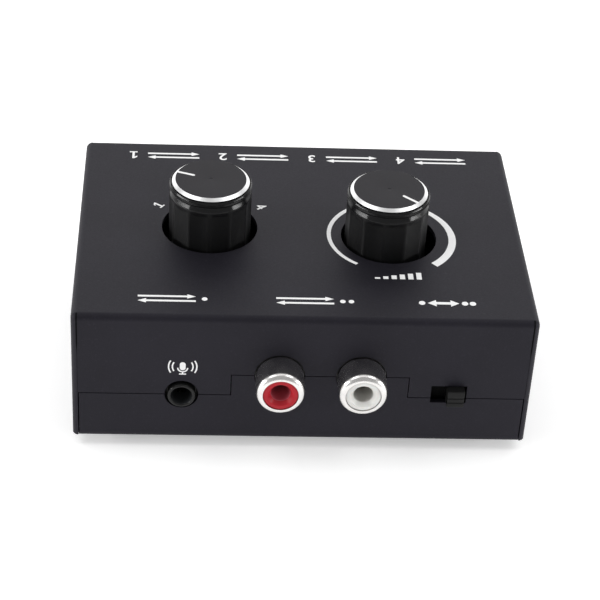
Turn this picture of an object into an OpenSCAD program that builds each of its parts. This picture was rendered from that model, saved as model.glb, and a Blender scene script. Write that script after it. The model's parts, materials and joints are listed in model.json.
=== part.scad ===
// Audio switch box: a folded steel case with a rotary selector, a volume control,
// a slide switch, a pair of phono sockets and five miniature jack sockets on one board.
// Millimetres. +X is right, +Y is to the back, +Z is up, and the front panel faces -Y.
// The origin is the centre of the outer box, on the surface that the feet stand on.

/* [Case] */
// Width of the folded case
case_w = 79; // [76:0.5:96]
// Depth of the folded case
case_d = 56; // [52:0.5:76]
// Height of the folded case, without its feet and knobs
case_h = 26; // [25:0.5:34]
// Thickness of the steel sheet
sheet_t = 1.0; // [0.8:0.1:1.2]
// Inside radius of the sheet's bends
bend_in_r = 0.1; // [0.1:0.05:0.8]
// How far the cover's sides stop above the tray's underside
side_lift = 0.4; // [0.2:0.1:0.8]
// Gap between the ends of the tray's lips and the cover's sides
tray_gap = 0.2; // [0.1:0.05:0.5]
// Gap between the tray's base and the cover's sides
base_gap = 0.05; // [0.03:0.01:0.1]
// Gap along the seam between the tray's lips and the cover's flanges
seam_gap = 0.16; // [0.08:0.02:0.3]

/* [Feet] */
// Diameter of a rubber foot
foot_d = 8; // [6:0.5:10]
// Height of a rubber foot
foot_h = 2; // [1.6:0.1:4]
// Radius of the foot's lower edge
foot_edge_r = 0.5; // [0.2:0.1:0.8]
// Distance from the case's side to a foot's centre
foot_inset_x = 13.5; // [13:0.5:18]
// Distance from the case's front or back to a foot's centre
foot_inset_y = 7; // [6:0.5:10]

/* [Fasteners] */
// Thread diameter of every screw
screw_d = 3; // [2.5:0.1:3]
// Diameter of a screw's head
screw_head_d = 5.2; // [4.6:0.1:5.6]
// Height of a screw's head
screw_head_h = 1.2; // [0.9:0.1:1.4]
// Width of one arm of the cross recess in a head
recess_w = 0.8; // [0.5:0.1:1]
// Length of one arm of that recess, across the head
recess_l = 3.4; // [2.6:0.1:3.8]
// Depth of that recess
recess_h = 0.7; // [0.4:0.1:0.8]
// Radial clearance between a screw and its tapped hole
thread_clear = 0.02; // [0.01:0.01:0.05]
// Radial clearance of a plain screw hole
hole_clear = 0.2; // [0.1:0.05:0.3]
// How far a cover screw reaches past its ear
screw_past = 1.6; // [1:0.1:2]
// Length of a cover ear along the side
ear_l = 9; // [8:0.5:10]
// Width of a cover ear, in from the side
ear_w = 8; // [7:0.5:8.5]
// Distance from the case's front or back to an ear's centre
ear_inset_y = 10.5; // [9.5:0.5:11]
// Gap between an ear and the tray under it
ear_gap = 0.05; // [0.02:0.01:0.1]

/* [Board] */
// Thickness of the circuit board
board_t = 1.6; // [1:0.1:2]
// Gap between the board and the case's sides
board_side_gap = 2; // [1:0.25:3]
// Gap between the board and the front and rear panels
board_end_gap = 1; // [0.5:0.25:1.5]
// Height of a standoff above the tray
standoff_h = 3.5; // [3.5:0.1:5]
// Diameter of a standoff
standoff_d = 5; // [4.8:0.1:6]
// Diameter of the standoff's spigot, pressed into the tray
spigot_d = 3.8; // [3.6:0.1:4.2]
// Distance from the case's side to a standoff's axis
standoff_inset_x = 7.5; // [7:0.25:8.5]
// Distance from the case's middle to a standoff's axis
standoff_y = 8; // [7:0.5:9]
// Length of a board screw below the board
board_screw_l = 3; // [2:0.25:3.25]

/* [Pins] */
// Thickness of contact strip
strip_t = 0.3; // [0.2:0.05:0.4]
// Width of contact strip
strip_w = 1; // [0.8:0.1:1.1]
// Diameter of a pin hole in the board
pin_hole_d = 1.3; // [1.2:0.1:1.5]
// How far a pin reaches out below the board
pin_past = 1.2; // [0.8:0.1:1.5]
// Width of a steel leg that holds a part on the board
leg_w = 2; // [1.6:0.1:2.2]
// Thickness of such a leg
leg_t = 0.5; // [0.4:0.1:0.6]

/* [Jack sockets] */
// Diameter of a jack socket's bore
jack_bore_d = 3.6; // [3.5:0.05:3.7]
// Depth of the bore from the nose's tip
jack_bore_l = 14; // [13:0.25:14.5]
// Diameter of the nose
nose_d = 4.8; // [4.6:0.1:5.4]
// How far the nose stands out of the panel
nose_reach = 0.6; // [0.4:0.1:2]
// Radial gap between the nose and its hole in the panel
nose_gap = 0.5; // [0.2:0.05:0.6]
// Width of the jack's body
jack_w = 8.4; // [8:0.1:9]
// Length of the jack's body
jack_l = 13; // [12.75:0.25:13.75]
// Height of the bore's axis above the board
jack_axis_h = 3.6; // [3.4:0.1:3.8]
// Height of the body above the bore's axis
jack_top = 3.2; // [2.8:0.1:3.6]
// Length of a contact spring
spring_l = 2; // [1.8:0.1:2.2]
// Distance from the body's front to its lower spring
low_spring_y = 1.5; // [1:0.1:2]
// Distance from the body's front to its left spring
left_spring_y = 5; // [4.5:0.1:5.5]
// Distance from the body's front to its right spring
right_spring_y = 8; // [7.8:0.1:8.5]
// Height of the slot that a contact spring lies in
contact_slot = 1.6; // [1.5:0.1:1.8]
// Running gap between a contact spring and the bore
contact_gap = 0.08; // [0.05:0.01:0.12]
// Gap between any connector and the panel's inner face
panel_gap = 0.2; // [0.1:0.05:0.4]
// Distance from the case's left side to the front jack's axis
mic_inset = 18.7; // [17:0.1:20]
// Distance from the case's side to the outermost rear jack's axis
rear_inset = 14.45; // [12:0.05:17]

/* [Phono sockets] */
// Position of the pair's middle, right of the case's middle
phono_x = 2.9; // [2:0.1:3.2]
// Spacing of the two sockets
phono_pitch = 14; // [13.5:0.1:14.5]
// Outside diameter of a shell
shell_d = 8.3; // [8.2:0.05:8.4]
// Wall of a shell, and the radius of its rim's outer edge
shell_wall = 1.1; // [0.9:0.05:1.2]
// Outside diameter of the shell's neck inside the housing
neck_d = 7.4; // [7.2:0.1:7.6]
// Length of that neck behind the housing's front
neck_in = 3.5; // [3:0.1:4]
// How far a shell stands out of the panel
shell_reach = 5.5; // [4.5:0.1:8]
// Depth of the insulator's face behind the shell's rim
insulator_sink = 0.1; // [0:0.05:0.8]
// Diameter of the hole for the plug's pin
pin_socket_d = 3.3; // [3.2:0.05:3.4]
// Width of the funnel around that hole
funnel_w = 0.6; // [0.3:0.05:0.9]
// Depth of that funnel
funnel_h = 0.8; // [0.3:0.05:1.2]
// How far behind the housing's front the centre contact begins
contact_in = 2.6; // [2:0.1:3]
// Diameter of the housing's boss in the panel
boss_d = 8.5; // [8.4:0.05:8.6]
// Depth of the boss's face behind the panel's outer face
boss_sink = 0.6; // [0.2:0.1:0.9]
// How much slimmer than the shell its seat on the boss is
seat_step = 0.25; // [0.2:0.01:0.3]
// Radial gap between the boss and its hole in the panel
boss_gap = 0.1; // [0.08:0.02:0.3]
// Width of the housing
phono_w = 28.5; // [28:0.25:29]
// Depth of the housing
phono_l = 10.5; // [10:0.25:12]
// Height of the sockets' axis above the board
phono_axis_h = 7.9; // [7:0.1:8.5]
// Height of the housing above that axis
phono_top = 5.2; // [4.8:0.1:5.6]
// How much wider than the housing the tray's raised tab is
tab_margin = 1; // [0.6:0.1:1.5]

/* [Slide switch] */
// Gap between the phono housing and the switch's frame
switch_gap = 1.85; // [0.5:0.05:4]
// Height of the switch's middle above the board
switch_axis_h = 4.4; // [4:0.1:4.8]
// Travel of the slider
slide_travel = 2.2; // [1.6:0.1:2.4]
// Width of the slider's button
slider_w = 3; // [2.6:0.1:3.2]
// Height of the slider's button
slider_h = 3.3; // [2.6:0.1:3.5]
// How far the button stands out of the panel
slider_reach = 1.5; // [1:0.1:3]
// Clearance beside the button at each end of its travel
slider_end_gap = 0.5; // [0.3:0.05:0.7]
// Clearance above and below the button
slider_side_gap = 0.15; // [0.1:0.05:0.4]
// Depth of the two grip grooves in the button's face
grip_depth = 0.25; // [0.1:0.05:0.4]
// Width of a grip groove
grip_w = 0.35; // [0.2:0.05:0.5]
// Spacing of the grip grooves
grip_pitch = 0.9; // [0.7:0.1:1.1]
// How far the pair of grooves lies below the button's middle
grip_drop = 0.2; // [0:0.05:0.3]
// Width of the switch's frame
frame_w = 12.4; // [12:0.1:13]
// Height of the switch's frame
frame_h = 6; // [5.8:0.1:6.4]
// Depth of the switch's frame
frame_l = 5.4; // [5.2:0.1:6]
// Thickness of the frame's sheet
frame_t = 0.4; // [0.3:0.05:0.5]
// Length of the slider's carriage, along the travel
carriage_w = 8.6; // [8.4:0.1:9]
// Length of a sliding clip, over two neighbouring terminals
clip_w = 3.6; // [3.3:0.1:4.2]
// Sliding gap around the carriage
slide_gap = 0.1; // [0.06:0.02:0.15]
// Thickness of the carriage
carriage_t = 2.2; // [1.8:0.1:2.4]
// Height of each row of terminals above or below the switch's middle
terminal_row = 1.4; // [1.2:0.1:1.6]

/* [Rotary parts] */
// Diameter of both shafts
shaft_d = 6; // [5.8:0.05:6.1]
// Distance from a shaft's axis to its flat
shaft_flat = 1.5; // [1.2:0.1:2]
// Running clearance of a shaft in its bushing
shaft_clear = 0.04; // [0.02:0.01:0.08]
// Wall of the threaded bushing
bushing_wall = 0.6; // [0.5:0.05:0.9]
// Gap between the top of a bushing and the underside of its knob
bushing_gap = 1.6; // [0.5:0.1:3]
// Thickness of the mounting plate under a bushing
plate_t = 0.8; // [0.6:0.1:1]
// Diameter of the collar that keeps a shaft in
collar_d = 8; // [7.6:0.1:8.2]
// Thickness of that collar
collar_t = 1.2; // [0.8:0.1:1.4]
// Width of the square tang that drives a rotor
tang_w = 3.6; // [3.2:0.1:3.8]
// Thickness of a rotor
rotor_t = 1.6; // [1.2:0.1:1.8]
// Running gap between pieces that turn and pieces that stand still
turn_gap = 0.12; // [0.08:0.02:0.2]
// Thickness of the floor of a rotary part's base
base_floor = 1.4; // [1.2:0.1:1.6]

/* [Selector] */
// Distance from the case's left side to the selector's axis
selector_inset = 23.2; // [22.5:0.1:24.5]
// Position of the selector's axis behind the case's middle
selector_y = -0.5; // [-1.5:0.1:1]
// Width of the selector's square base
selector_w = 15.5; // [15:0.1:16]
// Height of the selector's base
selector_h = 6; // [5.8:0.1:6.6]
// Radius of the ring of fixed contacts
contact_ring_r = 5.2; // [5:0.1:5.4]
// Radius of the inner common contact
common_r = 2.9; // [2.8:0.1:3]
// Width of the common contact
common_w = 1; // [0.8:0.1:1.1]
// Diameter of a contact pad
pad_d = 1.4; // [1.2:0.1:1.5]
// Diameter of a contact pin
pin_d = 0.8; // [0.6:0.1:0.9]
// Wall clearance outside the ring of pads
cavity_gap = 0.6; // [0.4:0.1:0.7]
// Number of selector positions
position_n = 4; // [2:1:4]
// Angle between two positions
position_step = 36; // [30:1:40]
// Direction of the selector's pointer at rest, from +X
selector_rest = 160; // [140:1:170]
// Diameter of the detent ball
ball_d = 1.4; // [1.2:0.1:1.5]
// Diameter of the holes in the plate that the ball springs into
detent_d = 1; // [0.8:0.1:1.1]
// Bore of the detent spring
detent_bore = 0.8; // [0.6:0.1:1]

/* [Volume control] */
// Distance from the case's right side to the volume control's axis
volume_inset = 24.6; // [24:0.1:26]
// Position of the volume control's axis behind the case's middle
volume_y = -2.6; // [-3:0.1:0]
// How far the knob's hole sits right of the shaft, from assembly play
volume_hole_shift = 0.6; // [0:0.1:0.7]
// Width of the volume control's base
volume_w = 10.8; // [10.6:0.1:11.6]
// Depth of the volume control's base
volume_d = 11.6; // [11:0.1:12]
// Height of the volume control's base
volume_h = 7.4; // [7.2:0.1:7.8]
// Thickness of a resistance track
track_t = 0.5; // [0.4:0.05:0.6]
// Inside diameter of a resistance track
track_in_d = 7.2; // [6.8:0.1:7.4]
// Wall of the base around the tracks
track_wall = 0.85; // [0.7:0.05:1]
// Spacing of the terminals
terminal_pitch = 2.8; // [2.5:0.1:3]
// Direction of the volume pointer at rest, from +X
volume_rest = -42; // [-60:1:-30]

/* [Knobs] */
// Diameter of a knob
knob_d = 14.5; // [13.5:0.1:15.5]
// Height of a knob
knob_h = 15.2; // [14.6:0.1:15.6]
// How far a knob stands above the case
knob_stand = 10; // [9.8:0.1:11]
// Radial gap between a knob and its hole in the cover
knob_gap = 1.25; // [1.1:0.05:1.6]
// Width of the chamfer around the knob's top edge
cap_chamfer = 0.7; // [0.4:0.05:0.95]
// Height of that chamfer
cap_h = 0.45; // [0.3:0.05:0.8]
// Step from the knob's band in to the foot of that chamfer
cap_step = 0.45; // [0.3:0.05:0.5]
// Height of the plain band under the chamfer
band_h = 0.9; // [0.8:0.05:2]
// Bevel along the upper edge of that band
band_bevel = 0.25; // [0.1:0.05:0.3]
// Height of the sloped groove between the band and the fluted grip
groove_h = 1.2; // [0.6:0.05:1.4]
// Depth of that groove
groove_depth = 0.35; // [0.25:0.05:0.5]
// Number of flutes around the grip
flute_n = 12; // [8:1:16]
// Radius of a flute
flute_r = 10; // [8:0.5:12]
// Depth of a flute
flute_depth = 0.34; // [0.2:0.02:0.36]
// Turn from the selector knob's pointer to the next ridge between flutes, in degrees
selector_flute_turn = 18.4; // [0:0.2:30]
// Turn from the volume knob's pointer to the next ridge between flutes, in degrees
volume_flute_turn = 3.6; // [0:0.2:30]
// Width of the pointer groove
pointer_w = 0.5; // [0.4:0.05:0.8]
// Length of the pointer groove
pointer_l = 3.1; // [2.5:0.1:4]
// Depth of the pointer groove
pointer_depth = 0.15; // [0.1:0.05:0.3]
// Diameter of the plastic insert
insert_d = 9.6; // [9:0.1:10]
// Height of the plastic insert
insert_h = 9; // [8:0.25:10]
// How far the insert sits up inside the knob
insert_lift = 0.5; // [0.3:0.1:1]
// Fit clearance between the knob's insert, knob and shaft
insert_clear = 0.03; // [0.02:0.01:0.05]

/* [Hidden] */
$fn = 64;
cut = 1;                                   // overrun of a cutting shape
bend_r = bend_in_r + sheet_t;              // outside radius of a bend
front_y = -case_d/2;                       // outer face of the front panel
inner_w = case_w - 2*sheet_t;
tray_w = inner_w - 2*tray_gap;             // width of the tray's lips
base_w = inner_w - 2*base_gap;
board_z = sheet_t + standoff_h;            // underside of the board
board_top = board_z + board_t;
board_w = inner_w - 2*board_side_gap;
board_d = case_d - 2*(sheet_t + board_end_gap);
jack_z = board_top + jack_axis_h;
phono_z = board_top + phono_axis_h;
switch_z = board_top + switch_axis_h;
mic_x = -case_w/2 + mic_inset;
rear_n = 4;                                // number of rear jacks
rear_pitch = (case_w - 2*rear_inset)/(rear_n - 1);
switch_x = phono_x + phono_w/2 + switch_gap + frame_w/2;
selector_x = -case_w/2 + selector_inset;
volume_x = case_w/2 - volume_inset;
tab_w = phono_w + 2*tab_margin;
seat_y = sheet_t + panel_gap;              // a connector's front face, behind the panel's outer face
case_y = (shell_reach - nose_reach)/2;     // centres the outer box on the origin
knob_top = case_h + knob_stand;
knob_bottom = knob_top - knob_h;
bushing_top = knob_bottom - bushing_gap;
insert_z = knob_bottom + insert_lift;
shaft_top = insert_z + insert_h - insert_lift;
pin_bottom = board_z - pin_past;           // lower end of every pin
jack_r = jack_bore_d/2;
spring_in = jack_r + contact_gap;          // nearest face of a contact spring to the bore's axis
shell_in_r = shell_d/2 - shell_wall;
insulator_r = shell_in_r - insert_clear;
neck_l = seat_y + neck_in;                 // inner end of a shell's neck
window_w = slider_w + slide_travel + 2*slider_end_gap;
window_h = slider_h + 2*slider_side_gap;
cavity_floor = base_floor;                 // inside floor of a rotary part's base

// Box from one corner to the opposite one
module block(a, b) {
  translate(a) cube(b - a);
}

// Round bar along Y
module rod_y(r, y0, y1) {
  translate([0, y0, 0]) rotate([-90, 0, 0]) cylinder(r = r, h = y1 - y0);
}

// Places its children at four points that mirror each other about both middle planes
module corners(x, y) {
  for (sx = [-1, 1], sy = [-1, 1]) translate([sx*x, sy*y, 0]) children();
}

// Places: the case's own frame, then the seat of each connector and control
module placed() {
  translate([0, case_y, foot_h]) children();
}
module at_front(x, z) {
  translate([x, front_y, z]) children();
}
module at_rear(i) {
  translate([(i - (rear_n - 1)/2)*rear_pitch, -front_y, jack_z]) rotate([0, 0, 180]) children();
}
module at_phono(side) {
  at_front(phono_x + side*phono_pitch/2, phono_z) children();
}
module at_selector() {
  translate([selector_x, selector_y, board_top]) children();
}
module at_volume() {
  translate([volume_x, volume_y, board_top]) children();
}

// Cross-section of a sheet bent round a right angle, its outer corner at 0, 0
// Leg a runs along +X and leg b along -Y
module bend_section(a, b) {
  difference() {
    union() {
      translate([bend_r, -bend_r]) circle(bend_r);
      translate([bend_r, -sheet_t]) square([a - bend_r, sheet_t]);
      translate([0, -b]) square([sheet_t, b - bend_r]);
    }
    translate([bend_r, -bend_r]) circle(bend_in_r);
    translate([bend_r, -b - cut]) square([a + cut, b + cut - sheet_t]);
    translate([sheet_t, -b - cut]) square([a + cut, b + cut - bend_r]);
  }
}

// Every hole through the front and rear panels, cut through cover and tray alike
module panel_holes() {
  at_front(mic_x, jack_z) rod_y(nose_d/2 + nose_gap, -cut, sheet_t + cut);
  for (i = [0:rear_n - 1]) at_rear(i) rod_y(nose_d/2 + nose_gap, -cut, sheet_t + cut);
  for (side = [-1, 1]) at_phono(side) rod_y(boss_d/2 + boss_gap, -cut, sheet_t + cut);
  at_front(switch_x, switch_z)
    block([-window_w/2, -cut, -window_h/2], [window_w/2, sheet_t + cut, window_h/2]);
}

// Front face area that belongs to the tray, grown by g
module tray_front(g) {
  block([-inner_w/2, front_y - cut, -cut], [inner_w/2, front_y + bend_r + cut, jack_z + g]);
  block([phono_x - tab_w/2 - g, front_y - cut, -cut],
    [phono_x + tab_w/2 + g, front_y + bend_r + cut, phono_z + g]);
}

// Case: the cover has the top, both sides and the upper part of front and back
// The same bend runs along all four top edges, and its corners are closed and rounded
module cover_side() {
  translate([-case_w/2, -front_y - bend_r, case_h]) rotate([90, 0, 0])
    linear_extrude(case_d - 2*bend_r) bend_section(2*bend_r, case_h - side_lift);
}
module cover_flange() {
  translate([bend_r - case_w/2, front_y, case_h]) rotate([90, 0, 90])
    linear_extrude(case_w - 2*bend_r) bend_section(2*bend_r, case_h - side_lift);
}
module cover_corner() {
  translate([bend_r - case_w/2, front_y + bend_r, 0]) rotate([0, 0, 180]) rotate_extrude(angle = 90) {
    intersection() {
      translate([0, case_h - bend_r]) difference() {
        circle(bend_r);
        circle(bend_in_r);
      }
      translate([0, case_h - bend_r]) square(bend_r);
    }
    translate([bend_in_r, side_lift]) square([sheet_t, case_h - bend_r - side_lift]);
  }
}
// One end of the cover: a flange between two corners
module cover_end() {
  cover_flange();
  for (m = [0, 1]) mirror([m, 0, 0]) cover_corner();
}
module ear_place() {
  corners(inner_w/2 - ear_w/2, case_d/2 - ear_inset_y) children();
}
module top_cover() {
  color("#2c2b2e") difference() {
    union() {
      for (m = [0, 1]) mirror([m, 0, 0]) cover_side();
      difference() {
        cover_end();
        tray_front(seam_gap/2);
      }
      difference() {
        mirror([0, 1, 0]) cover_end();
        block([-inner_w/2, 0, -cut], [inner_w/2, case_d, jack_z + seam_gap/2]);
      }
      block([bend_r - case_w/2, front_y + bend_r, case_h - sheet_t],
        [case_w/2 - bend_r, -front_y - bend_r, case_h]);
      ear_place() block([-ear_w/2 - ear_gap, -ear_l/2, sheet_t + ear_gap],
        [ear_w/2 + ear_gap, ear_l/2, 2*sheet_t + ear_gap]);
    }
    panel_holes();
    translate([selector_x, selector_y, 0]) cylinder(d = knob_d + 2*knob_gap, h = 2*case_h);
    translate([volume_x + volume_hole_shift, volume_y, 0])
      cylinder(d = knob_d + 2*knob_gap, h = 2*case_h);
    ear_place() cylinder(r = screw_d/2 + thread_clear, h = case_h/2);
    corners(inner_w/2 + sheet_t/2, case_d/2 - ear_inset_y)
      block([-sheet_t, -ear_l/2 - sheet_t/2, -cut], [sheet_t, ear_l/2 + sheet_t/2, sheet_t + ear_gap]);
  }
}

// The tray has the base and the lower part of front and back, with a tab raised behind the phono sockets
// Its lips are a little narrower than its base
module standoff_place() {
  corners(case_w/2 - standoff_inset_x, standoff_y) children();
}
module tray_lip(top) {
  translate([-base_w/2, front_y, 0]) mirror([0, 0, 1]) rotate([90, 0, 90])
    linear_extrude(base_w) bend_section(2*bend_r, top);
}
module bottom_tray() {
  color("#29282b") difference() {
    union() {
      intersection() {
        tray_lip(case_h - sheet_t);
        tray_front(-seam_gap/2);
      }
      intersection() {
        mirror([0, 1, 0]) tray_lip(case_h - sheet_t);
        block([-case_w, 0, -cut], [case_w, case_d, jack_z - seam_gap/2]);
      }
      block([-base_w/2, front_y + bend_r, 0], [base_w/2, -front_y - bend_r, sheet_t]);
    }
    for (m = [0, 1]) mirror([m, 0, 0]) block([tray_w/2, -case_d, bend_r], [case_w, case_d, case_h]);
    panel_holes();
    ear_place() translate([0, 0, -cut]) cylinder(r = screw_d/2 + hole_clear, h = sheet_t + 2*cut);
    standoff_place() translate([0, 0, -cut])
      cylinder(r = spigot_d/2 + thread_clear, h = sheet_t + 2*cut);
  }
}

// Pan-head screw with a cross recess, its head's seat at z 0 and its thread along +Z
module screw(length) {
  difference() {
    union() {
      translate([0, 0, -screw_head_h]) cylinder(d = screw_head_d, h = screw_head_h);
      cylinder(d = screw_d, h = length);
    }
    for (turn = [0, 90]) rotate([0, 0, turn])
      block([-recess_l/2, -recess_w/2, -screw_head_h - cut],
        [recess_l/2, recess_w/2, recess_h - screw_head_h]);
  }
}
module cover_screws() {
  color("#232325") ear_place() screw(2*sheet_t + ear_gap + screw_past);
}
module board_screws() {
  color("silver") standoff_place() translate([0, 0, board_top]) mirror([0, 0, 1])
    screw(board_t + board_screw_l);
}
module board_standoffs() {
  color("silver") standoff_place() difference() {
    union() {
      cylinder(d = spigot_d, h = sheet_t);
      translate([0, 0, sheet_t]) cylinder(d = standoff_d, h = standoff_h);
    }
    translate([0, 0, -cut]) cylinder(r = screw_d/2 + thread_clear, h = board_top);
  }
}

// Rubber foot with a rounded lower edge, stuck under the tray
module feet() {
  color("#1a1a1a") corners(case_w/2 - foot_inset_x, case_d/2 - foot_inset_y)
    translate([0, 0, -foot_h]) rotate_extrude() {
      translate([0, foot_edge_r]) square([foot_d/2, foot_h - foot_edge_r]);
      square([foot_d/2 - foot_edge_r, foot_h]);
      translate([foot_d/2 - foot_edge_r, foot_edge_r]) circle(foot_edge_r);
    }
}

// Board with a hole for every pin, leg and screw
module pin_hole(x, y, d = pin_hole_d) {
  translate([x, y, board_z - cut]) cylinder(d = d, h = board_t + 2*cut);
}
module on_board() {
  translate([0, 0, -board_top]) children();
}
module circuit_board() {
  color("#1d5a36") difference() {
    block([-board_w/2, -board_d/2, board_z], [board_w/2, board_d/2, board_top]);
    standoff_place() translate([0, 0, board_z - cut])
      cylinder(r = screw_d/2 + hole_clear, h = board_t + 2*cut);
    at_front(mic_x, 0) jack_pin_holes();
    for (i = [0:rear_n - 1]) translate([0, 0, -jack_z]) at_rear(i) jack_pin_holes();
    for (side = [-1, 1]) translate([0, 0, -phono_z]) at_phono(side) phono_pin_holes();
    at_front(switch_x, 0) switch_pin_holes();
    on_board() at_selector() selector_pin_holes();
    on_board() at_volume() volume_pin_holes();
  }
}

// Jack socket: origin on its axis at the panel's outer face, +Y into the case
// A contact spring: [side, nearest y, farthest y], where side -1 is left, 1 is right and 0 is below
function spring(side, y) = [side, seat_y + y, seat_y + y + spring_l];
jack_springs = [spring(0, low_spring_y), spring(-1, left_spring_y), spring(1, right_spring_y)];

// A side spring's leg stands outside the body, and the lower spring's leg goes straight down
function leg_x(spring) = spring[0]*(jack_w/2 + strip_t/2);
function leg_y(spring) = spring[0] == 0 ? (spring[1] + spring[2])/2 : spring[2] - strip_w/2;

// The nose is a tube with a round lip
module jack_nose() {
  lip_r = (nose_d/2 - jack_r)/2;
  rotate([-90, 0, 0]) rotate_extrude() {
    translate([jack_r, lip_r - nose_reach]) square([2*lip_r, nose_reach - lip_r + seat_y]);
    translate([jack_r + lip_r, lip_r - nose_reach]) circle(lip_r);
  }
}
module jack_body() {
  color("#17171a") {
    jack_nose();
    difference() {
      block([-jack_w/2, seat_y, -jack_axis_h], [jack_w/2, seat_y + jack_l, jack_top]);
      rod_y(jack_r, 0, jack_bore_l - nose_reach);
      for (s = jack_springs)
        if (s[0] == 0)
          block([-contact_slot/2, s[1], -jack_axis_h - cut], [contact_slot/2, s[2], 0]);
        else
          mirror([s[0] < 0 ? 1 : 0, 0, 0])
            block([0, s[1], -contact_slot/2], [jack_w, s[2], contact_slot/2]);
    }
  }
}
module jack_contacts() {
  half = strip_w/2;
  down = pin_bottom - jack_z;
  play = (contact_slot - strip_w)/2;
  color("silver") for (s = jack_springs)
    if (s[0] == 0) {
      block([-half, s[1] + play, -spring_in - strip_t], [half, s[2] - play, -spring_in]);
      block([-half, leg_y(s) - strip_t/2, down], [half, leg_y(s) + strip_t/2, -spring_in]);
    } else mirror([s[0] < 0 ? 1 : 0, 0, 0]) {
      block([spring_in, s[1] + play, -half], [spring_in + strip_t, s[2] - play/2, half]);
      block([spring_in, s[2] - play/2 - strip_t, -half], [jack_w/2 + strip_t, s[2] - play/2, half]);
      block([jack_w/2, s[2] - strip_w, -half], [jack_w/2 + strip_t, s[2] - play/2, half]);
      block([jack_w/2, s[2] - strip_w, down], [jack_w/2 + strip_t, s[2] - play/2, half]);
    }
}
module jack_pin_holes() {
  for (s = jack_springs) pin_hole(leg_x(s), leg_y(s));
}

// Phono socket: origin on its axis at the panel's outer face, +Y into the case
contact_y = seat_y + contact_in;           // where the insulator ends and the centre contact begins
contact_r = pin_socket_d/2 + strip_t;
tail_y = seat_y + phono_l + strip_t/2;     // the centre contact's tail, behind the housing
tab_y = neck_l - strip_t;                  // the ground tab, under the shell's neck
module phono_housing() {
  color("#141416") difference() {
    union() {
      at_front(phono_x, phono_z)
        block([-phono_w/2, seat_y, -phono_axis_h], [phono_w/2, seat_y + phono_l, phono_top]);
      for (side = [-1, 1]) at_phono(side) rod_y(boss_d/2, boss_sink, seat_y + cut);
    }
    for (side = [-1, 1]) at_phono(side) {
      rod_y(neck_d/2 + insert_clear, -cut, neck_l);
      rod_y(contact_r + insert_clear, 0, seat_y + phono_l + cut);
      block([-strip_w, tab_y - insert_clear, -phono_axis_h - cut],
        [strip_w, neck_l, -neck_d/2 + strip_t]);
    }
  }
}
module phono_shell(side) {
  color("#d8d6d0") at_phono(side) rotate([-90, 0, 0]) rotate_extrude() {
    translate([shell_in_r, shell_wall - shell_reach]) square([shell_wall, shell_reach - shell_wall]);
    intersection() {
      translate([shell_in_r, shell_wall - shell_reach]) circle(shell_wall);
      translate([shell_in_r, -shell_reach]) square(shell_wall);
    }
    translate([shell_in_r, 0]) square([shell_wall - seat_step, boss_sink]);
    translate([shell_in_r, 0]) square([neck_d/2 - shell_in_r, neck_l]);
  }
}
module phono_insulator(side, tint) {
  face_y = insulator_sink - shell_reach;
  color(tint) at_phono(side) difference() {
    rod_y(insulator_r, face_y, contact_y);
    rod_y(pin_socket_d/2, face_y - cut, contact_y + cut);
    translate([0, face_y, 0]) rotate([-90, 0, 0])
      cylinder(r1 = pin_socket_d/2 + funnel_w, r2 = pin_socket_d/2, h = funnel_h);
  }
}
module phono_contacts() {
  color("silver") for (side = [-1, 1]) at_phono(side) {
    difference() {
      rod_y(contact_r, contact_y, tail_y + strip_t/2);
      rod_y(pin_socket_d/2, contact_y - cut, tail_y - strip_t/2);
    }
    block([-strip_w/2, tail_y - strip_t/2, pin_bottom - phono_z], [strip_w/2, tail_y + strip_t/2, 0]);
  }
}
module phono_ground_tabs() {
  color("silver") for (side = [-1, 1]) at_phono(side)
    block([-strip_w/2, tab_y, pin_bottom - phono_z],
      [strip_w/2, tab_y + strip_t - insert_clear, -neck_d/2]);
}
module phono_pin_holes() {
  pin_hole(0, tail_y);
  pin_hole(0, tab_y + strip_t/2);
}

// Slide switch: origin at the panel's outer face in the middle of its window, +Y into the case
frame_back = seat_y + frame_l;
carriage_y = seat_y + frame_t + slide_gap;
clip_y = carriage_y + carriage_t;
terminal_y = clip_y + strip_t + slide_gap; // the terminals' heads stand just behind the sliding clips
leg_inset = leg_w/2;
module switch_frame() {
  color("silver") at_front(switch_x, switch_z) difference() {
    union() {
      block([-frame_w/2, seat_y, -frame_h/2], [frame_w/2, frame_back, frame_h/2]);
      for (side = [-1, 1]) translate([side*(frame_w/2 - leg_inset), 0, 0])
        block([-leg_w/2, seat_y, pin_bottom - switch_z], [leg_w/2, seat_y + leg_t, 0]);
    }
    block([-frame_w, seat_y + frame_t, frame_t - frame_h/2],
      [frame_w, frame_back + cut, frame_h/2 - frame_t]);
    block([-window_w/2, 0, -window_h/2], [window_w/2, seat_y + 2*frame_t, window_h/2]);
  }
}
module switch_base() {
  color("#6b4a2a") at_front(switch_x, switch_z) difference() {
    block([-frame_w/2, terminal_y + strip_t, frame_t - frame_h/2],
      [frame_w/2, frame_back, frame_h/2 - frame_t]);
    terminal_place() block([-strip_w/2 - insert_clear, 0, -strip_t/2 - insert_clear],
      [strip_w/2 + insert_clear, frame_back + cut, strip_t/2 + insert_clear]);
  }
}
module terminal_place() {
  for (column = [-1:1], row = [-1, 1])
    translate([column*slide_travel, 0, row*terminal_row]) children();
}
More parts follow.
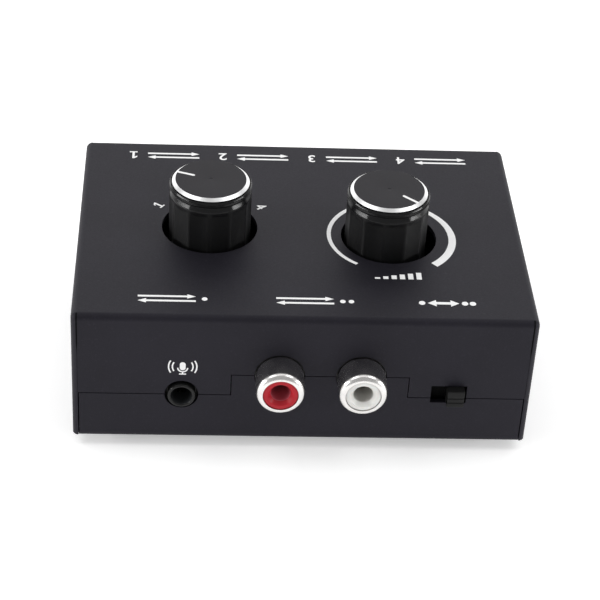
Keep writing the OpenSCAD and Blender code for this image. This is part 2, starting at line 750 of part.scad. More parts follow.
// The upper row's legs come down further back than the lower row's
function terminal_leg(row) = frame_back + strip_t + (row > 0 ? 2 : 0.5)*strip_w;
module switch_terminals() {
  color("silver") at_front(switch_x, switch_z) for (column = [-1:1], row = [-1, 1])
    translate([column*slide_travel, 0, row*terminal_row]) {
      block([-strip_w/2, terminal_y, -strip_w/2], [strip_w/2, terminal_y + strip_t, strip_w/2]);
      block([-strip_w/2, terminal_y, -strip_t/2],
        [strip_w/2, terminal_leg(row) + strip_t/2, strip_t/2]);
      block([-strip_w/2, terminal_leg(row) - strip_t/2, pin_bottom - switch_z - row*terminal_row],
        [strip_w/2, terminal_leg(row) + strip_t/2, strip_t/2]);
    }
}
module at_slider() {
  at_front(switch_x + slide_travel/2, switch_z) children();
}
module switch_slider() {
  inside = frame_h/2 - frame_t - slide_gap;
  color("#1b1b1d") at_slider() difference() {
    union() {
      block([-slider_w/2, -slider_reach, -slider_h/2], [slider_w/2, clip_y, slider_h/2]);
      block([-carriage_w/2, carriage_y, -inside], [carriage_w/2, clip_y, inside]);
    }
    for (row = [-1, 1]) translate([0, -slider_reach, row*grip_pitch/2 - grip_drop])
      block([-slider_w, -cut, -grip_w/2], [slider_w, grip_depth, grip_w/2]);
  }
}
module switch_clips() {
  color("silver") at_slider() for (row = [-1, 1]) translate([0, 0, row*terminal_row])
    block([-clip_w/2, clip_y, -strip_w/2], [clip_w/2, clip_y + strip_t, strip_w/2]);
}
module switch_pin_holes() {
  for (column = [-1:1], row = [-1, 1]) pin_hole(column*slide_travel, terminal_leg(row));
  for (side = [-1, 1])
    pin_hole(side*(frame_w/2 - leg_inset), seat_y + leg_t/2, leg_w + 2*hole_clear);
}

// Parts that both rotary controls share: origin on the axis at the board's top
// Plate with a threaded bushing, and a leg down each side into the board
module bushing_plate(w, d, z) {
  difference() {
    union() {
      block([-w/2 - leg_t, -leg_w/2, z], [w/2 + leg_t, leg_w/2, z + plate_t]);
      block([-w/2, -d/2, z], [w/2, d/2, z + plate_t]);
      translate([0, 0, z])
        cylinder(r = shaft_d/2 + shaft_clear + bushing_wall, h = bushing_top - board_top - z);
      for (side = [-1, 1]) translate([side*(w/2 + leg_t/2), 0, 0])
        block([-leg_t/2, -leg_w/2, pin_bottom - board_top], [leg_t/2, leg_w/2, z + plate_t]);
    }
    translate([0, 0, z - cut]) cylinder(r = shaft_d/2 + shaft_clear, h = case_h);
  }
}
module plate_leg_holes(w) {
  for (side = [-1, 1]) pin_hole(side*(w/2 + leg_t/2), 0, leg_w + 2*hole_clear);
}

// Rotor disc with a square drive hole and its lower face at z
module rotor(r, z) {
  difference() {
    translate([0, 0, z]) cylinder(r = r, h = rotor_t);
    cube([tang_w + 2*insert_clear, tang_w + 2*insert_clear, 4*case_h], center = true);
  }
}

// Shaft with a tang in the rotor, a collar under the plate and a flat for the knob
// The plate's underside is at plate_z
module shaft(rotor_z, plate_z) {
  flat_z = insert_z - board_top;
  difference() {
    union() {
      block([-tang_w/2, -tang_w/2, rotor_z], [tang_w/2, tang_w/2, rotor_z + rotor_t]);
      translate([0, 0, rotor_z + rotor_t])
        cylinder(d = shaft_d, h = shaft_top - board_top - rotor_z - rotor_t);
      translate([0, 0, plate_z - turn_gap - collar_t]) cylinder(d = collar_d, h = collar_t);
    }
    block([-shaft_d, shaft_flat, flat_z], [shaft_d, shaft_d, flat_z + case_h]);
  }
}

// Knob: origin on the axis at the case frame's z 0, pointer along +X, first ridge turned from it
band_z = knob_top - cap_h - band_h;        // lower edge of the band
grip_z = band_z - groove_h;                // upper edge of the grip
flute_z = (band_z + grip_z)/2 + groove_h/4;
module knob(flute_turn) {
  r = knob_d/2;
  color("#1c1b1e") difference() {
    union() {
      translate([0, 0, knob_bottom]) cylinder(r = r, h = grip_z - knob_bottom);
      translate([0, 0, grip_z]) cylinder(r1 = r, r2 = r - groove_depth, h = groove_h);
      translate([0, 0, band_z]) cylinder(r = r, h = band_h - band_bevel);
      translate([0, 0, knob_top - cap_h - band_bevel])
        cylinder(r1 = r, r2 = r - band_bevel, h = band_bevel);
      translate([0, 0, knob_top - cap_h])
        cylinder(r1 = r - cap_step, r2 = r - cap_step - cap_chamfer, h = cap_h);
    }
    for (i = [0:flute_n - 1]) rotate([0, 0, flute_turn + (i + 0.5)*360/flute_n])
      translate([r + flute_r - flute_depth, 0, knob_bottom - cut])
        cylinder(r = flute_r, h = flute_z - knob_bottom + cut);
    translate([0, 0, knob_bottom - cut])
      cylinder(r = insert_d/2 + insert_clear, h = insert_z + insert_h - knob_bottom + cut);
    block([r - cap_step - cap_chamfer - pointer_l, -pointer_w/2, knob_top - pointer_depth],
      [r, pointer_w/2, knob_top + cut]);
  }
}
module knob_insert() {
  color("#e6e2d8") difference() {
    translate([0, 0, insert_z]) cylinder(d = insert_d, h = insert_h);
    difference() {
      translate([0, 0, insert_z - cut])
        cylinder(r = shaft_d/2 + insert_clear, h = shaft_top - insert_z + cut);
      block([-shaft_d, shaft_flat + insert_clear, 0], [shaft_d, shaft_d, 2*knob_top]);
    }
  }
}

// Selector: fixed contacts in the base's floor, wipers under the rotor, a ball detent above it
pad_r = pad_d/2;
pin_r = pin_d/2;
cavity_r = contact_ring_r + pad_r + cavity_gap;
wiper_z = cavity_floor + strip_t + turn_gap;
rotor_z = wiper_z + strip_t;
ball_z = selector_h - turn_gap - ball_d/2;
ball_seat_z = ball_z - sqrt(ball_d*ball_d - detent_bore*detent_bore)/2 - insert_clear;
function position_angle(i) = selector_rest - i*position_step;
module contact_place() {
  for (pole = [0, 180], i = [0:position_n - 1])
    rotate([0, 0, position_angle(i) + pole]) translate([contact_ring_r, 0, 0]) children();
}
module common_place() {
  for (pole = [0, 180]) rotate([0, 0, position_angle(position_n - 1) + pole]) children();
}
module floor_pin(r) {
  translate([0, 0, pin_bottom - board_top]) cylinder(r = r, h = board_top - pin_bottom + cavity_floor);
}
module selector_base() {
  color("#3a2c20") at_selector() difference() {
    block([-selector_w/2, -selector_w/2, 0], [selector_w/2, selector_w/2, selector_h]);
    translate([0, 0, cavity_floor]) cylinder(r = cavity_r, h = selector_h);
    contact_place() floor_pin(pin_r + insert_clear);
    common_place() translate([common_r, 0, 0]) floor_pin(pin_r + insert_clear);
  }
}
module selector_contacts() {
  color("silver") at_selector() {
    contact_place() {
      floor_pin(pin_r);
      translate([0, 0, cavity_floor]) cylinder(r = pad_r, h = strip_t);
    }
    common_place() {
      translate([common_r, 0, 0]) floor_pin(pin_r);
      rotate([0, 0, -position_step/4])
        rotate_extrude(angle = (position_n - 0.5)*position_step)
          translate([common_r - common_w/2, cavity_floor]) square([common_w, strip_t]);
    }
  }
}
module selector_plate() {
  color("silver") at_selector() difference() {
    bushing_plate(selector_w, selector_w, selector_h);
    for (i = [0:position_n - 1]) rotate([0, 0, position_angle(i)])
      translate([contact_ring_r, 0, 0]) cylinder(d = detent_d, h = 2*selector_h);
  }
}
module selector_rotor() {
  color("#d9d2c0") at_selector() difference() {
    rotor(cavity_r - turn_gap, rotor_z);
    rotate([0, 0, selector_rest]) translate([contact_ring_r, 0, rotor_z + strip_t])
      cylinder(d = ball_d + 4*insert_clear, h = selector_h);
  }
}
module selector_wipers() {
  color("silver") at_selector() for (pole = [0, 180]) rotate([0, 0, selector_rest + pole])
    block([common_r - pad_r/2, -strip_w/2, wiper_z], [contact_ring_r + pad_r/2, strip_w/2, rotor_z]);
}
module selector_detent_spring() {
  color("silver") at_selector() rotate([0, 0, selector_rest])
    translate([contact_ring_r, 0, rotor_z + strip_t]) difference() {
      cylinder(d = ball_d, h = ball_seat_z - rotor_z - strip_t);
      translate([0, 0, -cut]) cylinder(d = detent_bore, h = selector_h);
    }
}
module selector_detent_ball() {
  color("silver") at_selector() rotate([0, 0, selector_rest])
    translate([contact_ring_r, 0, ball_z]) sphere(d = ball_d);
}
module selector_shaft() {
  color("silver") at_selector() rotate([0, 0, selector_rest]) shaft(rotor_z, selector_h);
}
module selector_pin_holes() {
  translate([0, 0, board_top]) {
    contact_place() translate([0, 0, -board_top]) pin_hole(0, 0, 2*pin_r + hole_clear);
    common_place() translate([common_r, 0, -board_top]) pin_hole(0, 0, 2*pin_r + hole_clear);
    translate([0, 0, -board_top]) plate_leg_holes(selector_w);
  }
}

// Volume control: two resistance tracks face each other, with a rotor and its wipers between them
track_r = min(volume_w, volume_d)/2 - track_wall;
track_in_r = track_in_d/2;
upper_track_z = volume_h - collar_t - 2*turn_gap - track_t;
volume_rotor_z = (cavity_floor + track_t + upper_track_z - rotor_t)/2;
terminal_out = volume_d/2 + strip_t;       // outer face of the terminals, in front of the base
module volume_terminal_place() {
  for (column = [-1:1]) translate([column*terminal_pitch, 0, 0]) children();
}
module volume_base() {
  color("#20303a") at_volume() difference() {
    block([-volume_w/2, -volume_d/2, 0], [volume_w/2, volume_d/2, volume_h]);
    translate([0, 0, cavity_floor]) cylinder(r = track_r + insert_clear, h = volume_h);
    volume_terminal_place() for (z = [cavity_floor + track_t, upper_track_z + track_t])
      block([-strip_w/2 - insert_clear, -volume_d, z - insert_clear],
        [strip_w/2 + insert_clear, -track_in_r, z + strip_t + insert_clear]);
  }
}
module volume_tracks() {
  color("#4a3526") at_volume() for (z = [cavity_floor, upper_track_z]) translate([0, 0, z])
    difference() {
      cylinder(r = track_r, h = track_t);
      translate([0, 0, -cut]) cylinder(r = track_in_r, h = track_t + 2*cut);
    }
}
module volume_terminals() {
  color("silver") at_volume() volume_terminal_place()
    for (row = [0, 1]) {
      z = (row == 0 ? cavity_floor : upper_track_z) + track_t;
      leg = -terminal_out - row*2*strip_w;
      block([-strip_w/2, leg, z], [strip_w/2, -track_r + strip_w/2, z + strip_t]);
      block([-strip_w/2, leg, pin_bottom - board_top], [strip_w/2, leg + strip_t, z + strip_t]);
    }
}
module volume_plate() {
  color("silver") at_volume() bushing_plate(volume_w, volume_d, volume_h);
}
module volume_rotor() {
  color("#d9d2c0") at_volume() rotate([0, 0, volume_rest]) rotor(track_r - turn_gap, volume_rotor_z);
}
module volume_wipers() {
  reach = track_in_r + strip_w/2;
  below = cavity_floor + track_t + turn_gap;
  above = volume_rotor_z + rotor_t;
  color("silver") at_volume() rotate([0, 0, volume_rest]) {
    block([reach - strip_w, -strip_w/2, below], [reach, strip_w/2, volume_rotor_z]);
    block([reach - strip_w, -strip_w/2, above], [reach, strip_w/2, upper_track_z - turn_gap]);
  }
}
module volume_shaft() {
  color("silver") at_volume() rotate([0, 0, volume_rest]) shaft(volume_rotor_z, volume_h);
}
module volume_pin_holes() {
  volume_terminal_place() for (row = [0, 1])
    pin_hole(0, -terminal_out - row*2*strip_w + strip_t/2);
  plate_leg_holes(volume_w);
}

// Knobs and inserts on their shafts
module on_selector_shaft() {
  translate([selector_x, selector_y, 0]) rotate([0, 0, selector_rest]) children();
}
module on_volume_shaft() {
  translate([volume_x, volume_y, 0]) rotate([0, 0, volume_rest]) children();
}

placed() top_cover();
placed() bottom_tray();
placed() cover_screws();
placed() feet();
placed() circuit_board();
placed() board_standoffs();
placed() board_screws();
placed() selector_base();
placed() selector_contacts();
placed() selector_plate();
placed() selector_shaft();
placed() selector_rotor();
placed() selector_wipers();
placed() selector_detent_spring();
placed() selector_detent_ball();
placed() on_selector_shaft() knob(selector_flute_turn);  // selector_knob
placed() on_selector_shaft() knob_insert();  // selector_knob_insert
placed() volume_base();
placed() volume_tracks();
placed() volume_terminals();
placed() volume_plate();
placed() volume_shaft();
placed() volume_rotor();
placed() volume_wipers();
placed() on_volume_shaft() knob(volume_flute_turn);  // volume_knob
placed() on_volume_shaft() knob_insert();  // volume_knob_insert
placed() switch_frame();
placed() switch_base();
placed() switch_terminals();
placed() switch_slider();
placed() switch_clips();
placed() phono_housing();
placed() phono_shell(-1);  // phono_shell_left
placed() phono_shell(1);  // phono_shell_right
placed() phono_insulator(-1, "#b3222b");  // phono_insulator_left
placed() phono_insulator(1, "#e9e7e4");  // phono_insulator_right
placed() phono_contacts();
placed() phono_ground_tabs();
placed() at_front(mic_x, jack_z) jack_body();  // front_jack_body
placed() at_front(mic_x, jack_z) jack_contacts();  // front_jack_contacts
for (i = [0:rear_n - 1]) {
  placed() at_rear(i) jack_body();
  placed() at_rear(i) jack_contacts();
}
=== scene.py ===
"""Looks of an audio switch box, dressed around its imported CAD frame.

The file is laid out as an add-on. The property groups hold the sizes and colours, each operator
makes one piece or one group of like pieces, and main() calls them in order. Lengths are metres.
"""

import json
import math

import bpy
import numpy as np
from bpy.props import FloatProperty, FloatVectorProperty, IntProperty, PointerProperty
from mathutils import Matrix, Vector


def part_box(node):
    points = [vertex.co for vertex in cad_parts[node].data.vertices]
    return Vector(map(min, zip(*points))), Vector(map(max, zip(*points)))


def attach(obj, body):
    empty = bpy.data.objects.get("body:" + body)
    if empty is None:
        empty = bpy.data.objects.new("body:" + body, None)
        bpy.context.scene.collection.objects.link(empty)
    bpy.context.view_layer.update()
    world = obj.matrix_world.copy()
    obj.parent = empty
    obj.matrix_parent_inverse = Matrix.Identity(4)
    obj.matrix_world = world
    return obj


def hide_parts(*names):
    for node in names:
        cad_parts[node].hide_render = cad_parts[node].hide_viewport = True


bl_info = {
    "name": "Audio switch box",
    "version": (1, 0, 0),
    "blender": (4, 5, 0),
    "location": "3D View > Sidebar > Switch box",
    "description": "Paints the case and makes the knobs, sockets, slider button, printed marks and stage",
    "category": "Object",
}

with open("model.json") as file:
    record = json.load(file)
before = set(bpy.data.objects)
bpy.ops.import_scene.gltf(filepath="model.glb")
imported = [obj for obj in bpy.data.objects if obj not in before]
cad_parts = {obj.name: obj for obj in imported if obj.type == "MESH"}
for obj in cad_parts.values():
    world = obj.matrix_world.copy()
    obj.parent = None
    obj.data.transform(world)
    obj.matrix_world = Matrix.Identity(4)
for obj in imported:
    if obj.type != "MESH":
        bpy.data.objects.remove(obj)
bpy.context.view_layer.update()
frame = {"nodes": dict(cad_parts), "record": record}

MM = 0.001


def node_span(node):
    """Lowest and highest corner of a CAD node as arrays."""
    low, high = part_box(node)
    return np.array(low), np.array(high)


def node_centre(node):
    """Middle of a CAD node's box."""
    low, high = node_span(node)
    return (low + high)/2


COVER_LOW, COVER_HIGH = node_span("top_cover")
KNOB_LOW, KNOB_HIGH = node_span("selector_knob")
SHELL_LOW, SHELL_HIGH = node_span("phono_shell_left")
SLIDER_LOW, SLIDER_HIGH = node_span("switch_slider")
TOP_Z = COVER_HIGH[2]
FRONT_Y = COVER_LOW[1]
KNOB_R = (KNOB_HIGH[0] - KNOB_LOW[0])/2
JACK_Z = 11.7*MM
JACKS = ["front_jack_body"] + [f"rear_jack_body_{i}" for i in range(1, 5)]
# Angle of each knob's pointer and the turn from it to a ridge between flutes, in degrees
KNOBS = {"selector": (160, 18.4), "volume": (-42, 3.6)}
# Places and sizes of the printed marks
REAR_ROW_X, REAR_ROW_Y = np.array([-24.95, -8.25, 8.5, 25.25])*MM, FRONT_Y + 51.15*MM
FRONT_ROW_X, FRONT_ROW_Y = np.array([-22.05, 1.35])*MM, FRONT_Y + 5.35*MM
SWITCH_MARK_X, VOLUME_BARS_X, VOLUME_BARS_Y = 24.05*MM, 16.2*MM, FRONT_Y + 13.25*MM
VOLUME_ARC_R, DIAL_R, DIAL_TALL, MICROPHONE_Z = 10.5*MM, 11.4*MM, 2.0*MM, 17.35*MM
# Name, place, size and power of each light, in metres and watts
LIGHT_AIM = (0, 0, 0.03)
LIGHTS = (("card_back", (0.0, 0.42, 0.26), (1.1, 0.42), 1.58),
          ("card_left", (-0.5, -0.10, 0.14), (0.36, 0.08), 1.25),
          ("card_right", (0.5, -0.12, 0.12), (0.3, 0.07), 0.95),
          ("card_back_left", (-0.35, 0.48, 0.06), (0.3, 0.1), 0.07),
          ("card_back_right", (0.35, 0.48, 0.06), (0.3, 0.1), 0.07),
          ("card_above", (0.0, -0.02, 0.6), (0.3, 0.22), 0.18),
          ("fill_left", (-0.45, -0.05, 0.7), (0.4, 0.4), 1.1),
          ("fill_right", (0.45, -0.05, 0.7), (0.4, 0.4), 1.1))


def length(name, description, default):
    """A length setting in metres."""
    return FloatProperty(name=name, description=description, default=float(default),
                         unit="LENGTH", precision=5)


def tint(name, description, default):
    """A colour setting."""
    return FloatVectorProperty(name=name, description=description, default=default,
                               subtype="COLOR", min=0.0, max=1.0)


class SwitchBoxSizes(bpy.types.PropertyGroup):
    """Sizes of the shown pieces that a user would change."""
    knob_radius: length("Knob radius", "Outside radius of both knobs", KNOB_R)
    rim_cut: length("Bright cut", "Width of the bright cut around a knob's top", 0.57*MM)
    rim_drop: length("Bright cut height", "Height of the bright cut around a knob's top", 0.465*MM)
    rim_step: length("Rim step", "Step from a knob's band in to its bright cut", 0.45*MM)
    flute_depth: length("Flute depth", "Depth of the flutes in a knob's grip", 0.34*MM)
    flute_count: IntProperty(name="Flutes", description="Number of flutes around a knob", default=12, min=6)
    pointer_width: length("Pointer width", "Width of the white line on a knob", 0.5*MM)
    shell_radius: length("Shell radius", "Outside radius of a phono shell",
                         (SHELL_HIGH[0] - SHELL_LOW[0])/2)
    shell_wall: length("Shell wall", "Wall of a phono shell and radius of its rim", 1.1*MM)
    button_rounding: length("Button rounding", "Radius of the slider button's edges", 0.18*MM)
    ink_height: length("Ink height", "How far the printed marks stand off the paint", 0.03*MM)
    mark_height: length("Mark height", "Height of the marks along the front and back", 2.4*MM)


class SwitchBoxColours(bpy.types.PropertyGroup):
    """Colours of the shown finishes."""
    paint: tint("Paint", "Powder coat of the case", (0.0098, 0.0092, 0.0130))
    knob: tint("Knob", "Black anodised knob", (0.0055, 0.0055, 0.006))
    knob_top: tint("Knob top", "Matte top of a knob", (0.012, 0.0115, 0.0135))
    bright_cut: tint("Bright cut", "Freshly cut aluminium", (0.84, 0.84, 0.845))
    nickel: tint("Nickel", "Plate on the phono shells", (0.80, 0.785, 0.77))
    red: tint("Red", "Left phono insulator", (0.43, 0.020, 0.030))
    white: tint("White", "Right phono insulator", (0.76, 0.755, 0.73))
    black: tint("Black plastic", "Moulded black plastic", (0.008, 0.008, 0.008))
    ink: tint("Ink", "Printed marks", (0.93, 0.93, 0.93))


class SwitchBoxStage(bpy.types.PropertyGroup):
    """Camera and light."""
    camera_place: FloatVectorProperty(name="Camera", description="Place of the camera",
                                      subtype="TRANSLATION", default=(-0.02067, -0.28935, 0.22206))
    camera_aim: FloatVectorProperty(name="Aim", description="Point that the camera looks at",
                                    subtype="TRANSLATION", default=(0.00061, 0.00245, 0.011855))
    camera_roll: FloatProperty(name="Roll", description="Turn of the camera about its own axis",
                               subtype="ANGLE", default=math.radians(3.47))
    camera_lens: FloatProperty(name="Lens", description="Focal length in millimetres", default=117.81)
    surround: FloatProperty(name="Surround", description="Strength of the grey surround", default=0.42)
    table_glow: FloatProperty(name="Table glow", description="Light that the pale table gives off",
                              default=0.34)


# Surfaces

def grid_faces(rows, columns, wrap_rows=False, wrap_columns=False):
    """Quads over a grid of points counted row by row; a wrapped side joins its last line to its first."""
    i = np.arange(rows if wrap_rows else rows - 1)[:, None]
    j = np.arange(columns if wrap_columns else columns - 1)[None, :]
    below, beside = (i + 1) % rows, (j + 1) % columns
    corners = (i*columns + j, i*columns + beside, below*columns + beside, below*columns + j)
    return np.stack(np.broadcast_arrays(*corners), -1).reshape(-1, 4)


def outward(points, faces):
    """The same faces, all turned over where the shell is inside out: where its volume, the sum over
    triangle fans of one sixth of the triple product, is negative."""
    volume = 0.0
    for block in faces:
        fan = np.cross(points[block[:, 1:-1]], points[block[:, 2:]])
        volume += (fan*points[block[:, :1]]).sum()/6
    return [block[:, ::-1] for block in faces] if volume < 0 else faces


def make_piece(name, shells, materials, body, replaces=(), sharp=32):
    """One object from closed shells (points, face blocks, material of each face), riding on a body."""
    points, faces, looks, offset = [], [], [], 0
    for shell_points, blocks, shell_looks in shells:
        points.append(shell_points)
        for block in outward(shell_points, blocks):
            faces += (block + offset).tolist()
        looks.append(np.broadcast_to(shell_looks, sum(len(block) for block in blocks)))
        offset += len(shell_points)
    mesh = bpy.data.meshes.new(name)
    mesh.from_pydata(np.concatenate(points).tolist(), [], faces)
    for material in materials:
        mesh.materials.append(material)
    mesh.polygons.foreach_set("material_index", np.concatenate(looks).astype(np.int32))
    mesh.polygons.foreach_set("use_smooth", np.ones(len(mesh.polygons), bool))
    mesh.set_sharp_from_angle(angle=math.radians(sharp))
    if mesh.validate():
        raise RuntimeError(f"{name} has faces that don't hold")
    piece = bpy.data.objects.new(name, mesh)
    bpy.context.scene.collection.objects.link(piece)
    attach(piece, body)
    if replaces:
        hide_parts(*replaces)
    return piece


def rounded(corners, steps=4):
    """A chain of (across, along, rounding, look) corners as a line; a corner with a rounding becomes an
    arc tangent to both its sides. Returns the line's points and the look of the stretch after each."""
    line, looks = [], []
    for k, (across, along, rounding, look) in enumerate(corners):
        here = np.array([across, along])
        if rounding and 0 < k < len(corners) - 1:
            back, ahead = (np.array(corners[k + s][:2]) - here for s in (-1, 1))
            reach = min(np.linalg.norm(back), np.linalg.norm(ahead))*0.48
            back, ahead = back/np.linalg.norm(back), ahead/np.linalg.norm(ahead)
            half = math.acos(np.clip(back @ ahead, -1, 1))/2
            setback = min(rounding/math.tan(half), reach)
            radius = setback*math.tan(half)
            middle = here + (back + ahead)/np.linalg.norm(back + ahead)*radius/math.sin(half)
            share = np.linspace(0, 1, steps + 1)[:, None]
            spoke = (here + back*setback - middle)*(1 - share) + (here + ahead*setback - middle)*share
            arc = middle + radius*spoke/np.linalg.norm(spoke, axis=1, keepdims=True)
        else:
            arc = here[None, :]
        line.append(arc)
        looks += [look]*len(arc)
    return np.concatenate(line), np.array(looks)


def turned(line, looks, steps, shape=None):
    """A line of (radius, height) points turned about Z: x = r cos a, y = r sin a, z = h. An end on the
    axis is one point; a line that stays off the axis closes on itself. shape changes r from r, h and a."""
    angle = np.linspace(0, 2*math.pi, steps, endpoint=False)
    radius = np.repeat(line[:, :1], steps, 1)
    height = np.repeat(line[:, 1:], steps, 1)
    if shape is not None:
        radius = shape(radius, height, angle[None, :])
    points = np.stack([radius*np.cos(angle), radius*np.sin(angle), height], -1)
    if line[0, 0] > 0:
        return points.reshape(-1, 3), [grid_faces(len(line), steps, True, True)], np.repeat(looks, steps)
    inner = points[1:-1]
    faces = grid_faces(len(inner), steps, False, True) + 1
    ring = np.arange(steps)
    beside = (ring + 1) % steps
    last = len(inner)*steps + 1
    first_fan = np.stack([np.zeros_like(ring), 1 + beside, 1 + ring], -1)
    last_fan = np.stack([np.full_like(ring, last), last - steps + ring, last - steps + beside], -1)
    points = np.concatenate([points[0, :1], inner.reshape(-1, 3), points[-1, :1]])
    looks = np.concatenate([np.repeat(looks[1:-2], steps), np.repeat(looks[0], steps),
                            np.repeat(looks[-2], steps)])
    return points, [faces, first_fan, last_fan], looks


def plate(outline, low, high):
    """A flat closed outline carried straight from one height to another and capped at both."""
    count = len(outline)
    points = np.concatenate([np.column_stack([outline, np.full(count, h)]) for h in (low, high)])
    ring = np.arange(count)
    return points, [grid_faces(2, count, False, True), ring[None, ::-1], ring[None, :] + count]


def ribbon(path, widths, low, high):
    """A rectangle of the given width carried along a flat path: two edges at half the width to each
    side of the path, at two heights, with both ends closed."""
    tangent = np.gradient(path, axis=0)
    tangent /= np.linalg.norm(tangent, axis=1, keepdims=True)
    side = np.column_stack([-tangent[:, 1], tangent[:, 0]])*np.broadcast_to(widths, len(path))[:, None]/2
    edges = [np.column_stack([path + sign*side, np.full(len(path), h)])
             for sign, h in ((1, low), (1, high), (-1, high), (-1, low))]
    points = np.stack(edges, 1).reshape(-1, 3)
    ends = np.array([[0, 1, 2, 3], [3, 2, 1, 0]]) + np.array([[0], [4*len(path) - 4]])
    return points, [grid_faces(len(path), 4, False, True), ends]


def arc_path(centre, radius, start, stop, steps):
    """Points on a circle from one angle to another, in degrees."""
    a = np.radians(np.linspace(start, stop, steps))
    return np.column_stack([centre[0] + radius*np.cos(a), centre[1] + radius*np.sin(a)])


# Node trees of the effects that several finishes share, and of the finishes

def shade(colour, factor):
    """A colour made darker or lighter, with full opacity."""
    return [min(1.0, c*factor) for c in colour[:3]] + [1.0]


def grey(value):
    """An even grey with full opacity."""
    return (value, value, value, 1)


class Nodes:
    """A node tree with short ways of adding to it. A socket that is given for an input is linked to it,
    and any other value is set on it. ends are the sockets that take the tree's results."""

    def __init__(self, tree):
        self.tree = tree

    def add(self, kind, inputs=(), **settings):
        """One node with its settings and inputs."""
        node = self.tree.nodes.new(kind)
        for key, value in settings.items():
            setattr(node, key, value)
        for key, value in dict(inputs).items():
            if isinstance(value, bpy.types.NodeSocket):
                self.tree.links.new(value, node.inputs[key])
            else:
                node.inputs[key].default_value = value
        return node

    def give(self, end, value):
        """Links a value to one of the tree's ends."""
        self.tree.links.new(value, self.ends[end])

    def sums(self, operation, *values):
        """A Math node's result."""
        return self.add("ShaderNodeMath", enumerate(values), operation=operation).outputs[0]

    def spread(self, value, low, high, out_low=0.0, out_high=1.0):
        """A value moved from one range to another and held inside it."""
        return self.add("ShaderNodeMapRange", {"Value": value, "From Min": low, "From Max": high,
                                               "To Min": out_low, "To Max": out_high}).outputs[0]

    def noise(self, vector, scale, detail=2.0, roughness=0.5):
        """A noise texture's value."""
        return self.add("ShaderNodeTexNoise", {"Vector": vector, "Scale": scale, "Detail": detail,
                                               "Roughness": roughness}).outputs[0]

    def parts(self, vector):
        """A vector's x, y and z."""
        return self.add("ShaderNodeSeparateXYZ", {"Vector": vector}).outputs

    def reach(self, first, second):
        """Square root of the sum of two squares."""
        squares = [self.sums("MULTIPLY", side, side) for side in (first, second)]
        return self.sums("SQRT", self.sums("ADD", *squares))


class Effect(Nodes):
    """A shared effect: a shader node group that takes a place and one number and gives named results."""

    def __init__(self, name, number, default, *results):
        super().__init__(bpy.data.node_groups.new(name, "ShaderNodeTree"))
        sockets = self.tree.interface
        sockets.new_socket("Vector", in_out="INPUT", socket_type="NodeSocketVector")
        sockets.new_socket(number, in_out="INPUT", socket_type="NodeSocketFloat").default_value = default
        for label in results:
            sockets.new_socket(label, in_out="OUTPUT", socket_type="NodeSocketFloat")
        self.place, self.number = self.add("NodeGroupInput").outputs[:2]
        self.ends = self.add("NodeGroupOutput").inputs


def make_effects():
    """Builds the shared effects: cloudy tone, fine grain, turning lines, worn edges and settled dust."""
    made = Effect("cloudy_tone", "Scale", 60.0, "Tone")
    made.give("Tone", made.spread(made.noise(made.place, made.number, 3.0, 0.55), 0.3, 0.7))

    made = Effect("fine_grain", "Scale", 4000.0, "Height", "Speck")
    bumps = made.noise(made.place, made.number, 2.0, 0.6)
    cells = made.add("ShaderNodeTexVoronoi", {"Vector": made.place, "Scale": made.number}).outputs
    made.give("Height", made.sums("SUBTRACT", bumps, made.sums("MULTIPLY", cells["Distance"], 0.3)))
    speck = made.add("ShaderNodeSeparateColor", {"Color": cells["Color"]}).outputs[0]
    made.give("Speck", made.spread(speck, 0.9, 1.0))

    made = Effect("turning_lines", "Pitch", 0.1*MM, "Across", "Along")
    x, y, z = made.parts(made.place)
    for label, distance in (("Across", made.reach(x, y)), ("Along", z)):
        turns = made.sums("DIVIDE", distance, made.number)
        made.give(label, made.add("ShaderNodeTexNoise", {"W": turns, "Scale": 1.0, "Detail": 3.0},
                                  noise_dimensions="1D").outputs[0])

    made = Effect("worn_edges", "Width", 0.15*MM, "Wear")
    soft = made.add("ShaderNodeBevel", {"Radius": made.number}, samples=4).outputs[0]
    hard = made.add("ShaderNodeNewGeometry").outputs["Normal"]
    along = made.add("ShaderNodeVectorMath", {0: soft, 1: hard}, operation="DOT_PRODUCT").outputs["Value"]
    broken = made.spread(made.noise(made.place, 900.0, 4.0, 0.65), 0.35, 0.65, 0.25, 1.0)
    made.give("Wear", made.sums("MULTIPLY", made.spread(along, 0.98, 0.80), broken))

    made = Effect("settled_dust", "Scale", 1500.0, "Dust")
    facing = made.spread(made.parts(made.add("ShaderNodeNewGeometry").outputs["Normal"])[2], 0.5, 1.0)
    flecks = made.spread(made.noise(made.place, made.number, 5.0, 0.7), 0.6, 0.8)
    made.give("Dust", made.sums("MULTIPLY", facing, flecks))


